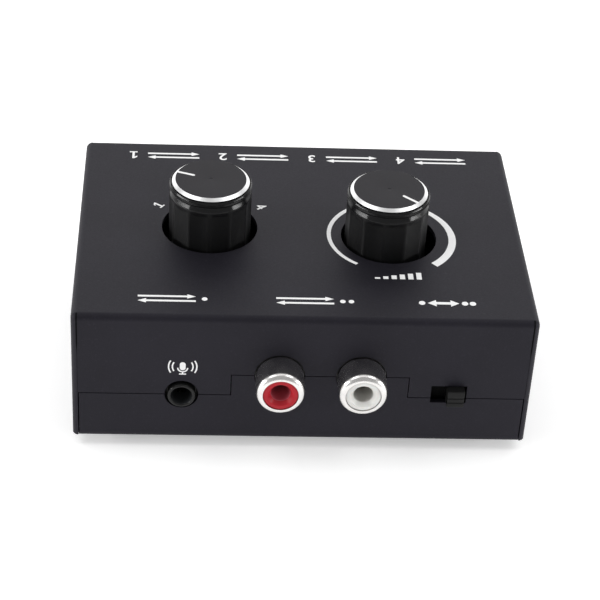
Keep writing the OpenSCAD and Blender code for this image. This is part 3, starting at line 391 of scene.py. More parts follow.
class Finish(Nodes):
    """A material with a Principled shader whose plain sockets are set. place is the piece's own
    coordinates, moved to a centre and turned."""

    def __init__(self, name, centre=(0, 0, 0), turn=(0, 0, 0), **sockets):
        self.material = bpy.data.materials.new(name)
        self.material.use_nodes = True
        super().__init__(self.material.node_tree)
        self.ends = self.tree.nodes["Principled BSDF"].inputs
        for key, value in sockets.items():
            self.ends[key.replace("_", " ").title().replace("Ior", "IOR")].default_value = value
        own = self.add("ShaderNodeTexCoord").outputs["Object"]
        moved = self.add("ShaderNodeMapping", {"Vector": own, "Location": [-c for c in centre]}).outputs[0]
        self.place = self.add("ShaderNodeMapping", {"Vector": moved, "Rotation": turn}).outputs[0]

    def effect(self, name, number):
        """A shared effect's results at this finish's place."""
        return self.add("ShaderNodeGroup", {0: self.place, 1: number},
                        node_tree=bpy.data.node_groups[name]).outputs

    def tone(self, scale):
        """Soft patches."""
        return self.effect("cloudy_tone", scale)["Tone"]

    def wear(self, width):
        """A mask of worn edges."""
        return self.effect("worn_edges", width)["Wear"]

    def dust(self, scale):
        """A mask of settled dust."""
        return self.effect("settled_dust", scale)["Dust"]

    def drawn_out(self, times):
        """The place, finer across x, which draws a texture out along x."""
        scale = (1.0, times, times)
        return self.add("ShaderNodeMapping", {"Vector": self.place, "Scale": scale}).outputs[0]

    def blend(self, share, first, second):
        """Colour between two, by a share."""
        return self.add("ShaderNodeMix", {0: share, 6: first, 7: second}, data_type="RGBA").outputs[2]

    def paint(self, colour, share, darker, lighter, *films):
        """Gives the base colour: between two shades of a colour by a share, then films over it, each a
        mask, its strength and the film's own colour."""
        base = self.blend(share, shade(colour, darker), shade(colour, lighter))
        for mask, strength, film in films:
            base = self.blend(self.sums("MULTIPLY", mask, strength), base, film)
        self.give("Base Color", base)

    def roughen(self, value, low, high, smooth, rough):
        """Gives the roughness: a value moved from its own range to that of the surface."""
        self.give("Roughness", self.spread(value, low, high, smooth, rough))

    def embossed(self, height, strength, distance, **normal):
        """Gives the normal that a Bump node makes of a height, and returns the finished material."""
        links = {"Height": height, "Strength": strength, "Distance": distance, **normal}
        self.give("Normal", self.add("ShaderNodeBump", links).outputs[0])
        return self.material


def powder_coat(name, colour):
    """Matte powder coat: fine orange peel, soft patches, thin lighter film on the edges, a little dust."""
    look = Finish(name, specular_ior_level=0.22, specular_tint=(0.9, 0.87, 1.0, 1))
    grain = look.effect("fine_grain", 3600.0)
    look.paint(colour, look.tone(70.0), 0.86, 1.14, (grain["Speck"], 0.35, shade(colour, 2.0)),
               (look.wear(0.22*MM), 0.2, shade(colour, 4.0)), (look.dust(1800.0), 0.10, grey(0.2)))
    look.roughen(grain["Height"], 0.2, 0.7, 0.50, 0.62)
    soft = look.add("ShaderNodeBevel", {"Radius": 0.05*MM}, samples=4).outputs[0]
    return look.embossed(grain["Height"], 0.25, 0.02*MM, Normal=soft)


def anodised(name, colour, centre):
    """Black anodised side of a knob: soft handling marks, worn ridges, and lines from the lathe that are
    deep on the grip and fine above it. The lines run around the grip, so they spread a reflection up and
    down, along the axis."""
    look = Finish(name, centre, specular_ior_level=0.3, anisotropic=0.7)
    grip = look.spread(look.parts(look.place)[2], -2.5*MM, -2.75*MM, 0.05, 1.0)
    lines = look.effect("turning_lines", 0.05*MM)["Along"]
    tone = look.tone(220.0)
    look.paint(colour, tone, 0.9, 1.1, (look.wear(0.1*MM), 0.13, grey(0.10)))
    smooth = look.spread(tone, 0.0, 1.0, 0.16, 0.2)
    look.give("Roughness", look.sums("ADD", smooth, look.sums("MULTIPLY", grip, 0.24)))
    look.give("Tangent", look.add("ShaderNodeCombineXYZ", {"Z": 1.0}).outputs[0])
    return look.embossed(look.sums("MULTIPLY", lines, grip), 0.5, 0.02*MM)


def blasted_top(name, colour, centre):
    """Matte blasted top of a knob: fine grain, faint rings and a little dust."""
    look = Finish(name, centre, specular_ior_level=0.22, specular_tint=(0.95, 0.91, 1.0, 1))
    rings = look.effect("turning_lines", 0.25*MM)["Across"]
    grain = look.effect("fine_grain", 9000.0)["Height"]
    look.paint(colour, look.tone(160.0), 0.88, 1.12, (rings, 0.25, shade(colour, 1.3)),
               (look.dust(2400.0), 0.12, grey(0.25)))
    look.roughen(grain, 0.2, 0.7, 0.5, 0.62)
    return look.embossed(look.sums("ADD", grain, look.sums("MULTIPLY", rings, 0.4)), 0.2, 0.01*MM)


def bright_metal(name, colour, centre, rough, turn=(0, 0, 0)):
    """Bright bare or plated metal with lines left by the lathe and a thin uneven film."""
    look = Finish(name, centre, turn, metallic=1.0)
    lines = look.effect("turning_lines", 0.04*MM)
    tone = look.tone(300.0)
    look.paint(colour, tone, 0.92, 1.05)
    look.roughen(tone, 0.0, 1.0, *rough)
    return look.embossed(look.sums("ADD", lines["Across"], lines["Along"]), 0.08, 0.01*MM)


def moulded(name, colour, rough=(0.32, 0.45), specular=0.5, grain_scale=5000.0, dusty=0.06, glow=0.0):
    """Moulded plastic: fine mould grain, faint flow marks, edges polished by handling."""
    look = Finish(name, specular_ior_level=specular, subsurface_weight=glow, subsurface_scale=1.0,
                  subsurface_radius=(0.4*MM, 0.25*MM, 0.2*MM))
    tone = look.tone(260.0)
    look.paint(colour, tone, 0.9, 1.1, (look.wear(0.12*MM), 0.4, shade(colour, 1.8)),
               (look.dust(2600.0), dusty, grey(0.3)))
    look.roughen(tone, 0.0, 1.0, *rough)
    return look.embossed(look.effect("fine_grain", grain_scale)["Height"], 0.12, 0.01*MM)


def socket_moulding(name, colour, centre):
    """Black moulding of a jack socket: fine grain, a lip polished by plugs and a bore in a lighter grey."""
    look = Finish(name, centre, specular_ior_level=0.05, coat_roughness=0.08)
    x, y, z = look.parts(look.place)
    reach = look.reach(x, z)
    bore, lip = look.spread(reach, 1.85*MM, 1.82*MM), look.spread(reach, 2.5*MM, 2.45*MM)
    tone = look.tone(260.0)
    bore_grey_share = look.spread(tone, 0.0, 1.0, 0.7, 1.0)
    # The bore is coloured a lighter grey than the black plastic, in patches of varying strength.
    look.paint(colour, tone, 0.9, 1.1, (bore, bore_grey_share, (0.031, 0.033, 0.036, 1)))
    look.roughen(tone, 0.0, 1.0, 0.35, 0.48)
    look.give("Coat Weight", look.sums("MULTIPLY", look.sums("SUBTRACT", lip, bore), 0.42))
    return look.embossed(look.effect("fine_grain", 5000.0)["Height"], 0.12, 0.01*MM)


def zinc(name, colour, rough=(0.28, 0.45)):
    """Plated sheet and turned metal: cloudy spangle and fine rolling lines."""
    look = Finish(name, metallic=1.0)
    lines = look.noise(look.drawn_out(14.0), 900.0, 3.0, 0.6)
    look.paint(colour, look.tone(420.0), 0.82, 1.1, (look.wear(0.1*MM), 0.4, shade(colour, 1.3)))
    look.roughen(lines, 0.3, 0.7, *rough)
    return look.embossed(lines, 0.1, 0.01*MM)


def solder_mask(name, colour):
    """Green board: lighter copper tracks under the mask, a grid of small vias and a little flux haze."""
    look = Finish(name, specular_ior_level=0.5)
    cells = look.add("ShaderNodeTexVoronoi", {"Vector": look.place, "Scale": 260.0}, feature="F1",
                     distance="CHEBYCHEV").outputs["Distance"]
    track = look.spread(look.sums("PINGPONG", cells, 0.14), 0.05, 0.07)
    dots = look.add("ShaderNodeTexVoronoi", {"Vector": look.place, "Scale": 190.0, "Randomness": 0.6})
    via = look.spread(dots.outputs["Distance"], 0.10, 0.08)
    tone = look.tone(120.0)
    look.paint(colour, track, 0.8, 1.5, (via, 1.0, (0.45, 0.42, 0.36, 1)), (tone, 0.15, shade(colour, 0.5)))
    look.roughen(tone, 0.0, 1.0, 0.25, 0.4)
    return look.embossed(track, 0.3, 0.03*MM)


def laminate(name, colour):
    """Brown paper laminate: short fibres, darker flecks, a dull sheen."""
    look = Finish(name, specular_ior_level=0.4)
    fibres = look.noise(look.drawn_out(5.0), 1500.0, 4.0, 0.7)
    flecks = look.effect("fine_grain", 2500.0)["Speck"]
    look.paint(colour, look.spread(fibres, 0.3, 0.7), 0.75, 1.3, (flecks, 0.5, shade(colour, 0.4)))
    look.roughen(fibres, 0.3, 0.7, 0.4, 0.6)
    return look.embossed(fibres, 0.2, 0.01*MM)


def screen_ink(name, colour):
    """Screen printed ink: slight pinholes and an uneven film that lets the paint's grain through."""
    look = Finish(name, specular_ior_level=0.4)
    grain = look.effect("fine_grain", 5200.0)
    look.paint(colour, look.tone(500.0), 0.96, 1.0, (grain["Speck"], 0.12, shade(colour, 0.6)))
    look.roughen(grain["Height"], 0.2, 0.7, 0.45, 0.6)
    return look.embossed(grain["Height"], 0.15, 0.01*MM)


def finish_node(name, material):
    """Puts a finish on a CAD node."""
    for place in frame["nodes"][name].material_slots:
        place.material = material


def finish_slot(slot, material):
    """Puts a finish on every CAD node that the record gives a slot."""
    for part in frame["record"]["subparts"]:
        if part["material_slot"] == slot:
            finish_node(part["node"], material)


class SWITCHBOX_OT_paint_case(bpy.types.Operator):
    """Paint the cover and tray, and finish the screws and feet under them"""
    bl_idname = "switch_box.paint_case"
    bl_label = "Paint the case"

    def execute(self, context):
        colours = context.scene.switch_box_colours
        finish_slot("case_paint", powder_coat("case_paint", colours.paint))
        finish_slot("black_steel", zinc("black_oxide", (0.03, 0.03, 0.032), (0.4, 0.55)))
        finish_slot("foot_rubber", moulded("foot_rubber", (0.012, 0.012, 0.012), (0.65, 0.8), 0.3,
                                           2500.0, 0.2))
        return {"FINISHED"}


def corner_joint(x, end):
    """Painted shadow in the open joint at a corner of the cover: a thin strip, wider near the top, laid up
    an end's face and round the bend above it. Past the bend's start its length is an angle about the bend's
    centre."""
    bend = 1.1*MM
    along = np.linspace(JACK_Z + 0.2*MM - TOP_Z + bend, 1.5*MM, 72)
    widths = np.interp(along, [-6.5*MM, -4.5*MM], [0.04*MM, 0.24*MM])
    points, faces = ribbon(np.column_stack([along, np.zeros_like(along)]), widths, -0.05*MM, 0.02*MM)
    length_up, across, height = points.T
    turn = np.maximum(length_up, 0)/bend
    deep = bend - (bend + height)*np.cos(turn)
    rise = TOP_Z - bend + np.minimum(length_up, 0) + (bend + height)*np.sin(turn)
    y = FRONT_Y + deep if end == "front" else COVER_HIGH[1] - deep
    return np.column_stack([x + across, y, rise]), faces, 0


class SWITCHBOX_OT_open_joints(bpy.types.Operator):
    """Lay painted shadow in the open joints at the cover's four corners, where its ends meet its sides"""
    bl_idname = "switch_box.open_joints"
    bl_label = "Open the corner joints"

    def execute(self, context):
        # Near-black strips: painted shadow in the joints where the cover's ends meet its sides.
        dark = moulded("joint_shadow", (0.003, 0.003, 0.0035), (0.7, 0.85), 0.05, dusty=0.1)
        inset = 1.0*MM
        for end in ("front", "rear"):
            for side, x in (("left", COVER_LOW[0] + inset), ("right", COVER_HIGH[0] - inset)):
                make_piece(f"corner_joint_{end}_{side}", [corner_joint(x, end)], [dark], "box")
        return {"FINISHED"}


class SWITCHBOX_OT_finish_works(bpy.types.Operator):
    """Finish the board, the switches, the sockets' bodies and every contact inside the case"""
    bl_idname = "switch_box.finish_works"
    bl_label = "Finish the works"

    def execute(self, context):
        black = context.scene.switch_box_colours.black
        finish_slot("board", solder_mask("board_mask", (0.02, 0.12, 0.05)))
        finish_slot("black_plastic", moulded("black_moulding", black))
        for name in JACKS:
            across, deep = node_centre(name)[:2]
            finish_node(name, socket_moulding(f"{name}_moulding", black, (across, deep, JACK_Z)))
        finish_slot("steel", zinc("zinc_plate", (0.6, 0.6, 0.58)))
        finish_slot("contact_brass", zinc("tinned_brass", (0.66, 0.60, 0.46), (0.2, 0.35)))
        finish_slot("phenolic", laminate("paper_laminate", (0.16, 0.085, 0.045)))
        finish_slot("natural_plastic", moulded("pale_moulding", (0.72, 0.68, 0.6)))
        return {"FINISHED"}


def knob_line(sizes, low, high):
    """Half section of a knob from the middle of its top, down the outside and up its bore."""
    top, side, bright = 0, 1, 2
    radius, foot = sizes.knob_radius, sizes.knob_radius - sizes.rim_step
    ledge = high - sizes.rim_drop
    dimple, gutter, groove, slope = high - 0.05*MM, ledge - 0.25*MM, 0.35*MM, 0.75*MM
    band_low, grip_top = ledge - 0.9*MM, ledge - 2.1*MM
    neck, bore, bore_top = radius - groove, 4.83*MM, low + 9.5*MM
    corners = [(0, dimple, 0, top), (0.22*MM, dimple, 0.05*MM, top), (0.34*MM, high, 0.05*MM, top),
               (foot - sizes.rim_cut, high, 0, bright), (foot, ledge + 0.02*MM, 0, side),
               (foot, gutter, 0, side), (foot + 0.2*MM, gutter, 0, side),
               (radius - 0.2*MM, ledge, 0.04*MM, side), (radius, ledge - 0.35*MM, 0.1*MM, side)]
    for line in (ledge - 0.5*MM, ledge - 0.64*MM, ledge - 0.78*MM):
        corners += [(radius, line + 0.05*MM, 0, side), (radius - 0.06*MM, line, 0, side),
                    (radius, line - 0.05*MM, 0, side)]
    corners += [(radius, band_low, 0.05*MM, side), (neck, band_low, 0.03*MM, side),
                (neck, grip_top + slope, 0.1*MM, side)]
    corners += [(neck + groove*share, grip_top + slope*(1 - share), 0, side)
                for share in (0.3, 0.6, 0.8, 0.93)]
    corners += [(radius, grip_top - fade*MM, 0, side) for fade in (0.1, 0.3, 0.45, 0.6, 0.75, 0.9, 1.1)]
    corners += [(radius, low + 0.3*MM, 0, side), (radius - 0.25*MM, low, 0.08*MM, side),
                (bore, low, 0.1*MM, side), (bore, bore_top, 0, side), (0, bore_top, 0, side)]
    return rounded(corners), grip_top


def knob_shell(sizes, axis, low, high, ridge):
    """A knob's half section turned about its axis. Below the groove the radius drops towards that of
    round flutes: d cos f - sqrt(R^2 - d^2 sin^2 f), where f is the angle from the nearest flute's middle,
    R the flute's radius and d its distance from the axis. The drop grows smoothly over the first stretch.
    A ridge between two flutes stands at the angle given, in degrees."""
    (line, looks), grip_top = knob_line(sizes, low, high)
    flute_r, fade_from, fade_over, inside = 10*MM, grip_top - 0.15*MM, 0.95*MM, 5*MM
    reach = sizes.knob_radius + flute_r - sizes.flute_depth
    pitch = 2*math.pi/sizes.flute_count

    def fluted(radius, height, angle):
        turn = (angle - math.radians(ridge)) % pitch - pitch/2
        scoop = reach*np.cos(turn) - np.sqrt(np.maximum(flute_r**2 - (reach*np.sin(turn))**2, 0))
        share = np.clip((fade_from - height)/fade_over, 0, 1)
        share = np.where(radius > inside, share*share*(3 - 2*share), 0)
        return radius - share*np.maximum(radius - scoop, 0)

    points, faces, looks = turned(line, looks, 32*sizes.flute_count, fluted)
    return points + np.array([axis[0], axis[1], 0]), faces, looks


def pointer_shell(sizes, axis, high, degrees):
    """A flat white line let into the knob's top: a strip with a round inner end, laid along a radius."""
    half, sunk, proud = sizes.pointer_width/2, 0.12*MM, 0.015*MM
    start, stop = 3.0*MM + half, sizes.knob_radius - sizes.rim_step - sizes.rim_cut + 0.05*MM
    end = arc_path((start, 0), half, 90, 270, 9)
    outline = np.concatenate([end, [(stop, -half), (stop, half)]])
    a = math.radians(degrees)
    outline = outline @ np.array([[math.cos(a), math.sin(a)], [-math.sin(a), math.cos(a)]]) + axis[:2]
    points, faces = plate(outline, high - sunk, high + proud)
    return points, faces, 0


class SWITCHBOX_OT_make_knobs(bpy.types.Operator):
    """Make both turned knobs with their bright cut and white pointer line"""
    bl_idname = "switch_box.make_knobs"
    bl_label = "Make the knobs"

    def execute(self, context):
        sizes, colours = context.scene.switch_box_sizes, context.scene.switch_box_colours
        line_ink = screen_ink("pointer_ink", colours.ink)
        for name, (degrees, flute_turn) in KNOBS.items():
            low, high = node_span(f"{name}_knob")
            axis = (low + high)/2
            centre = (axis[0], axis[1], high[2])
            looks = [blasted_top(f"{name}_knob_top", colours.knob_top, centre),
                     anodised(f"{name}_knob_side", colours.knob, centre),
                     bright_metal(f"{name}_knob_cut", colours.bright_cut, centre, (0.32, 0.4))]
            shell = knob_shell(sizes, axis, low[2], high[2], degrees + flute_turn)
            make_piece(f"{name}_knob_turned", [shell], looks, name, [f"{name}_knob"], 24)
            make_piece(f"{name}_pointer_line", [pointer_shell(sizes, axis, high[2], degrees)],
                       [line_ink], name)
        return {"FINISHED"}


def panel_shell(line, looks, steps, centre):
    """A half section turned about Z, then laid so that its height points out of the front panel, at the
    x and z of a centre."""
    points, faces, looks = turned(line, looks, steps)
    across, up, out = points.T
    return np.column_stack([centre[0] + across, FRONT_Y - out, centre[2] + up]), faces, looks


def shell_line(radius, wall, tip, neck_end):
    """Closed half section of a phono shell: neck, seat in the panel, barrel, rim rounded off outside by
    a quarter circle, straight inside."""
    inner, neck, seat = radius - wall, radius - 0.45*MM, radius - 0.25*MM
    turn = np.radians(np.linspace(0, 90, 17))
    rim = np.column_stack([inner + wall*np.cos(turn), tip - wall + wall*np.sin(turn)])
    sides = np.array([(inner, neck_end), (neck, neck_end), (neck, -0.6*MM), (seat - 0.03*MM, -0.6*MM),
                      (seat, -0.57*MM), (seat, 0), (radius - 0.02*MM, 0), (radius, 0.02*MM)])
    line = np.concatenate([sides, rim, [(inner, tip - 0.1*MM)]])
    return line, np.zeros(len(line), int)


def insulator_line(radius, face, back, hole, flare):
    """Closed half section of an insulator: wall, softly rounded face, flared mouth and straight hole,
    which has a look of its own: a recoloured copy of the face that paints the hole's shade and reflection."""
    corners = [(hole, back, 0, 0), (radius, back, 0, 0), (radius, face, 0.22*MM, 0),
               (hole + flare, face, 0.12*MM, 0), (hole, face - flare*1.3, 0.25*MM, 1),
               (hole, back + 0.01*MM, 0, 1)]
    return rounded(corners, 6)


def sleeve_line(inner, outer, face, back):
    """Closed half section of a plain sleeve."""
    return np.array([(inner, back), (outer, back), (outer, face), (inner, face)]), np.zeros(4, int)


class SWITCHBOX_OT_make_phono(bpy.types.Operator):
    """Make the phono pair's nickel shells and the red and white insulators in them"""
    bl_idname = "switch_box.make_phono"
    bl_label = "Make the phono sockets"

    def execute(self, context):
        sizes, colours = context.scene.switch_box_sizes, context.scene.switch_box_colours
        # The last value of each entry is the hole's colour, a recoloured copy of the insulator: darker in
        # the white one as painted shade, paler and purplish in the red one as a painted reflection of the
        # pale floor and lights.
        insides = {"left": ("red", colours.red, 0.15, (0.5, 0.10, 0.13)),
                   "right": ("white", colours.white, 0.5, (0.56, 0.55, 0.52))}
        hole, flare, sleeve_in, sleeve_out, sleeve_sunk = np.array([1.65, 0.6, 1.58, 1.66, 4.6])*MM
        dull = zinc("dull_sleeve", (0.22, 0.20, 0.18), (0.45, 0.6))
        for side, (word, colour, gloss, deep) in insides.items():
            low, high = node_span(f"phono_shell_{side}")
            middle = (low + high)/2
            plated = bright_metal(f"nickel_{side}", colours.nickel, middle, (0.2, 0.28), (math.pi/2, 0, 0))
            line = shell_line(sizes.shell_radius, sizes.shell_wall, FRONT_Y - low[1], FRONT_Y - high[1])
            make_piece(f"phono_barrel_{side}", [panel_shell(*line, 128, middle)], [plated], "box",
                       [f"phono_shell_{side}"])
            low, high = node_span(f"phono_insulator_{side}")
            face, back = FRONT_Y - low[1], FRONT_Y - high[1]
            # The second look paints shade and reflection into the hole.
            looks = [moulded(f"{word}_moulding", colour, (0.3, 0.42), gloss, glow=0.15),
                     moulded(f"{word}_hole", deep, (0.3, 0.42), gloss)]
            line = insulator_line((high[0] - low[0])/2, face, back, hole, flare)
            make_piece(f"phono_core_{side}", [panel_shell(*line, 96, middle)], looks, "box",
                       [f"phono_insulator_{side}"])
            line = sleeve_line(sleeve_in, sleeve_out, face - sleeve_sunk, back + 0.01*MM)
            make_piece(f"phono_sleeve_{side}", [panel_shell(*line, 64, middle)], [dull], "box")
        return {"FINISHED"}


def button_outline(front, back, low, high, grooves, rounding):
    """Side view of the slider button, as (y, z) corners: round front edges and two grip grooves."""
    depth, half = 0.13*MM, 0.19*MM
    corners = [(back, low, 0, 0), (front, low, rounding, 0)]
    for z in grooves:
        corners += [(front, z - half, 0.05*MM, 0), (front + depth, z - half*0.6, 0.06*MM, 0),
                    (front + depth, z + half*0.6, 0.06*MM, 0), (front, z + half, 0.05*MM, 0)]
    corners += [(front, high, rounding, 0), (back, high, 0, 0)]
    return rounded(corners)[0]


def rounded_bar(outline, start, stop, rounding, steps=5):
    """An outline in y and z carried along x; near each end it draws in along its own normals by
    r (1 - sin t) while x moves by r (1 - cos t), which rounds the end's edge."""
    ahead, behind = np.roll(outline, -1, 0), np.roll(outline, 1, 0)
    along = ahead - behind
    normal = np.column_stack([along[:, 1], -along[:, 0]])/np.linalg.norm(along, axis=1, keepdims=True)
    if ((outline - outline.mean(0))*normal).sum() > 0:
        normal = -normal
    t = np.linspace(0, math.pi/2, steps)
    x = np.concatenate([start + rounding*(1 - np.cos(t)), stop - rounding*(1 - np.cos(t[::-1]))])
    draw = np.concatenate([rounding*(1 - np.sin(t)), rounding*(1 - np.sin(t[::-1]))])
    flat = outline[None] + normal[None]*draw[:, None, None]
    points = np.concatenate([np.broadcast_to(x[:, None, None], flat.shape[:2] + (1,)), flat], -1)
    count = len(outline)
    ring = np.arange(count)[None]
    faces = [grid_faces(len(x), count, False, True), ring[:, ::-1], ring + (len(x) - 1)*count]
    return points.reshape(-1, 3), faces, 0


class SWITCHBOX_OT_make_slider(bpy.types.Operator):
    """Make the slide switch's grooved button and the carriage behind it"""
    bl_idname = "switch_box.make_slider"
    bl_label = "Make the slider button"

    def execute(self, context):
        sizes, colours = context.scene.switch_box_sizes, context.scene.switch_box_colours
        middle = (SLIDER_LOW + SLIDER_HIGH)/2
        front, back = SLIDER_LOW[1], SLIDER_HIGH[1]
        half_w, half_h, root, deep, edge = np.array([1.5, 1.65, 0.8, 2.2, 0.15])*MM
        grooves = middle[2] + np.array([-0.65, 0.25])*MM
        side_view = button_outline(front, back - root, middle[2] - half_h, middle[2] + half_h, grooves,
                                   sizes.button_rounding)
        button = rounded_bar(side_view, middle[0] - half_w, middle[0] + half_w, sizes.button_rounding)
        block = rounded([(back, SLIDER_LOW[2], 0, 0), (back - deep, SLIDER_LOW[2], edge, 0),
                         (back - deep, SLIDER_HIGH[2], edge, 0), (back, SLIDER_HIGH[2], 0, 0)])[0]
        carriage = rounded_bar(block, SLIDER_LOW[0], SLIDER_HIGH[0], edge)[:2] + (1,)
        # The carriage's look is the black plastic made darker and duller: painted shade inside the switch
        # window.
        looks = [moulded("slider_moulding", colours.black, (0.4, 0.55), 0.17),
                 moulded("carriage_painted_shade", shade(colours.black, 0.6), (0.6, 0.75), 0.06, dusty=0.0)]
        make_piece("slider_button", [button, carriage], looks, "slider", ["switch_slider"])
        return {"FINISHED"}


# Printed marks, each drawn flat in u to the right and v up, then laid on its face

def arrow(start, stop, v, thick, head_l, head_h):
    """Outline of an arrow from one u to another at a height v."""
    way = 1 if stop > start else -1
    neck = stop - way*head_l
    return np.array([(start, v - thick/2), (neck, v - thick/2), (neck, v - head_h/2), (stop, v),
                     (neck, v + head_h/2), (neck, v + thick/2), (start, v + thick/2)])


def two_way_arrow(start, stop, thick, head_l, head_h):
    """Outline of an arrow with a head at both ends."""
    left, right = start + head_l, stop - head_l
    return np.array([(start, 0), (left, -head_h/2), (left, -thick/2), (right, -thick/2),
                     (right, -head_h/2), (stop, 0), (right, head_h/2), (right, thick/2),
                     (left, thick/2), (left, head_h/2)])


def dot(u, v, radius):
    """Outline of a round dot."""
    return arc_path((u, v), radius, 0, 345, 24)


def bar(u0, u1, v0, v1):
    """Outline of an upright bar."""
    return np.array([(u0, v0), (u1, v0), (u1, v1), (u0, v1)])


def numeral_one(height, u, v):
    """Outline of a figure one with a flag and a foot."""
    corners = np.array([(-0.3, -0.5), (0.3, -0.5), (0.3, -0.36), (0.09, -0.36), (0.09, 0.5), (-0.06, 0.5),
                        (-0.3, 0.3), (-0.3, 0.13), (-0.09, 0.28), (-0.09, -0.36), (-0.3, -0.36)])
    return corners*height + np.array([u, v])


def numeral(number, height, low, high, u, v):
    """A plain number from Blender's own font as a closed slab, its middle at u and v."""
    if number == 1:
        return plate(numeral_one(height, u, v), low, high)
    curve = bpy.data.curves.new("numeral", "FONT")
    curve.body = str(number)
    curve.extrude = (high - low)/2
    curve.resolution_u = 6
    curve.offset = 0.012
    text = bpy.data.objects.new("numeral", curve)
    bpy.context.scene.collection.objects.link(text)
    bpy.context.view_layer.update()
    mesh = bpy.data.meshes.new_from_object(text.evaluated_get(bpy.context.evaluated_depsgraph_get()))
    points = np.zeros(len(mesh.vertices)*3)
    mesh.vertices.foreach_get("co", points)
    points = points.reshape(-1, 3)
    faces = [np.array([face.vertices[:]]) for face in mesh.polygons]
    bpy.data.objects.remove(text)
    bpy.data.curves.remove(curve)
    bpy.data.meshes.remove(mesh)
    flat_low, flat_high = points[:, :2].min(0), points[:, :2].max(0)
    size = height/(flat_high[1] - flat_low[1])
    flat = (points[:, :2] - (flat_low + flat_high)/2)*size + np.array([u, v])
    deep = np.where(points[:, 2] > 0, high, low)
    points, index = np.unique(np.round(np.column_stack([flat, deep]), 9), axis=0, return_inverse=True)
    return points, [index.reshape(-1)[face] for face in faces]


def lay_mark(shells, origin, across, upward):
    """Moves flat marks to a face: origin plus u across plus v upward plus height along their cross
    product."""
    across, upward = np.array(across, float), np.array(upward, float)
    axes = np.stack([across, upward, np.cross(across, upward)])
    return [(points @ axes + np.array(origin), faces, 0) for points, faces in shells]


class SWITCHBOX_OT_print_marks(bpy.types.Operator):
    """Print the plain marks: arrows, dots, bars, dial numbers, volume arc and microphone sign"""
    bl_idname = "switch_box.print_marks"
    bl_label = "Print the marks"

    def execute(self, context):
        sizes, colours = context.scene.switch_box_sizes, context.scene.switch_box_colours
        ink = screen_ink("print_ink", colours.ink)
        low, high = -0.02*MM, sizes.ink_height
        tall = sizes.mark_height
        thick, head_l, head_h = 0.2*tall, 0.6*tall, 0.5*tall
        dot_r, dot_pitch, dial_pitch = 0.2*tall, 1.45*MM, 36

        def slabs(*outlines):
            return [plate(outline, low, high) for outline in outlines]

        def swap_arrows(u0, u1):
            return slabs(arrow(u0, u1, 0.27*tall, thick, head_l, head_h),
                         arrow(u1, u0, -0.27*tall, thick, head_l, head_h))

        def mark(name, shells, origin, across=(1, 0, 0), upward=(0, 1, 0)):
            make_piece(name, lay_mark(shells, origin, across, upward), [ink], "box",
                       (), 40)

        # Rear row, read from behind
        for number, x in enumerate(REAR_ROW_X, 1):
            shells = swap_arrows(-6.7*MM, 2.9*MM) + [numeral(number, tall, low, high, 5.6*MM, 0)]
            mark(f"mark_rear_{number}", shells, (x, REAR_ROW_Y, TOP_Z), (-1, 0, 0), (0, -1, 0))

        # Front row
        for count, x in enumerate(FRONT_ROW_X, 1):
            dots = [dot(4.9*MM + dot_pitch*k, 0, dot_r) for k in range(count)]
            mark(f"mark_front_{count}", swap_arrows(-6.4*MM, 3.4*MM) + slabs(*dots),
                 (x, FRONT_ROW_Y, TOP_Z))
        dots = [dot(u*MM, 0, 0.23*tall) for u in (-4.3, 3.05, 4.4)]
        dots.insert(1, two_way_arrow(-3.3*MM, 2.05*MM, thick*1.4, head_l, head_h*1.5))
        mark("mark_switch", slabs(*dots), (SWITCH_MARK_X, FRONT_ROW_Y, TOP_Z))

        # Volume arc and its growing bars
        axis = node_centre("volume_knob")
        sweep = np.linspace(234, -50, 96)
        widths = np.interp(-sweep, [-234, -40, 0, 50], [0.6, 1.0, 1.3, 1.45])*MM
        a = np.radians(sweep)
        path = (VOLUME_ARC_R + widths/2)[:, None]*np.column_stack([np.cos(a), np.sin(a)])
        mark("mark_volume_arc", [ribbon(path, widths, low, high)], (axis[0] + 0.8*MM, axis[1], TOP_Z))
        heights = np.linspace(0.45, 2.0, 6)*MM
        starts, foot = (-4.0 + 1.45*np.arange(6))*MM, -1.0*MM
        bars = [bar(u, u + 0.9*MM, foot, foot + tall_bar) for u, tall_bar in zip(starts, heights)]
        mark("mark_volume_bars", slabs(*bars), (VOLUME_BARS_X, VOLUME_BARS_Y, TOP_Z))

        # Numbers of the selector's dial, tops outward
        axis = node_centre("selector_knob")
        for number in range(1, 5):
            a = math.radians(180 - dial_pitch*number)
            out = (math.cos(a), math.sin(a), 0)
            mark(f"mark_dial_{number}", [numeral(number, DIAL_TALL, low, high, 0, 0)],
                 (axis[0] + DIAL_R*out[0], axis[1] + DIAL_R*out[1], TOP_Z), (out[1], -out[0], 0), out)

        # Microphone sign over the front jack
        jack = node_centre("front_jack_body")
        capsule = [arc_path((0, 0.75), 0.5, 0, 180, 13), arc_path((0, 0.05), 0.5, 180, 360, 13)]
        stand = [(-0.13, -1.15), (-0.6, -1.15), (-0.6, -1.38), (0.6, -1.38), (0.6, -1.15), (0.13, -1.15)]
        cradle = [arc_path((0, 0.05), 0.95, 180, 262, 12), stand, arc_path((0, 0.05), 0.95, 278, 360, 12),
                  arc_path((0, 0.05), 0.72, 360, 180, 24)]
        waves = [ribbon(arc_path((0, 0.3), r, a, b, 16)*MM, 0.24*MM, low, high)
                 for r in (1.75, 2.4) for a, b in ((-32, 32), (148, 212))]
        mark("mark_microphone", slabs(*(np.concatenate(line)*MM for line in (capsule, cradle))) + waves,
             (jack[0] + 0.15*MM, FRONT_Y, MICROPHONE_Z), (1, 0, 0), (0, 0, 1))
        return {"FINISHED"}


def area_light(name, place, size, power):
    """A soft rectangular light that faces the object."""
    light = bpy.data.lights.new(name, "AREA")
    light.shape = "RECTANGLE"
    light.size, light.size_y = size
    light.energy = power
    lamp = bpy.data.objects.new(name, light)
    lamp.location = place
    lamp.rotation_euler = (Vector(LIGHT_AIM) - Vector(place)).to_track_quat("-Z", "Y").to_euler()
    bpy.context.scene.collection.objects.link(lamp)


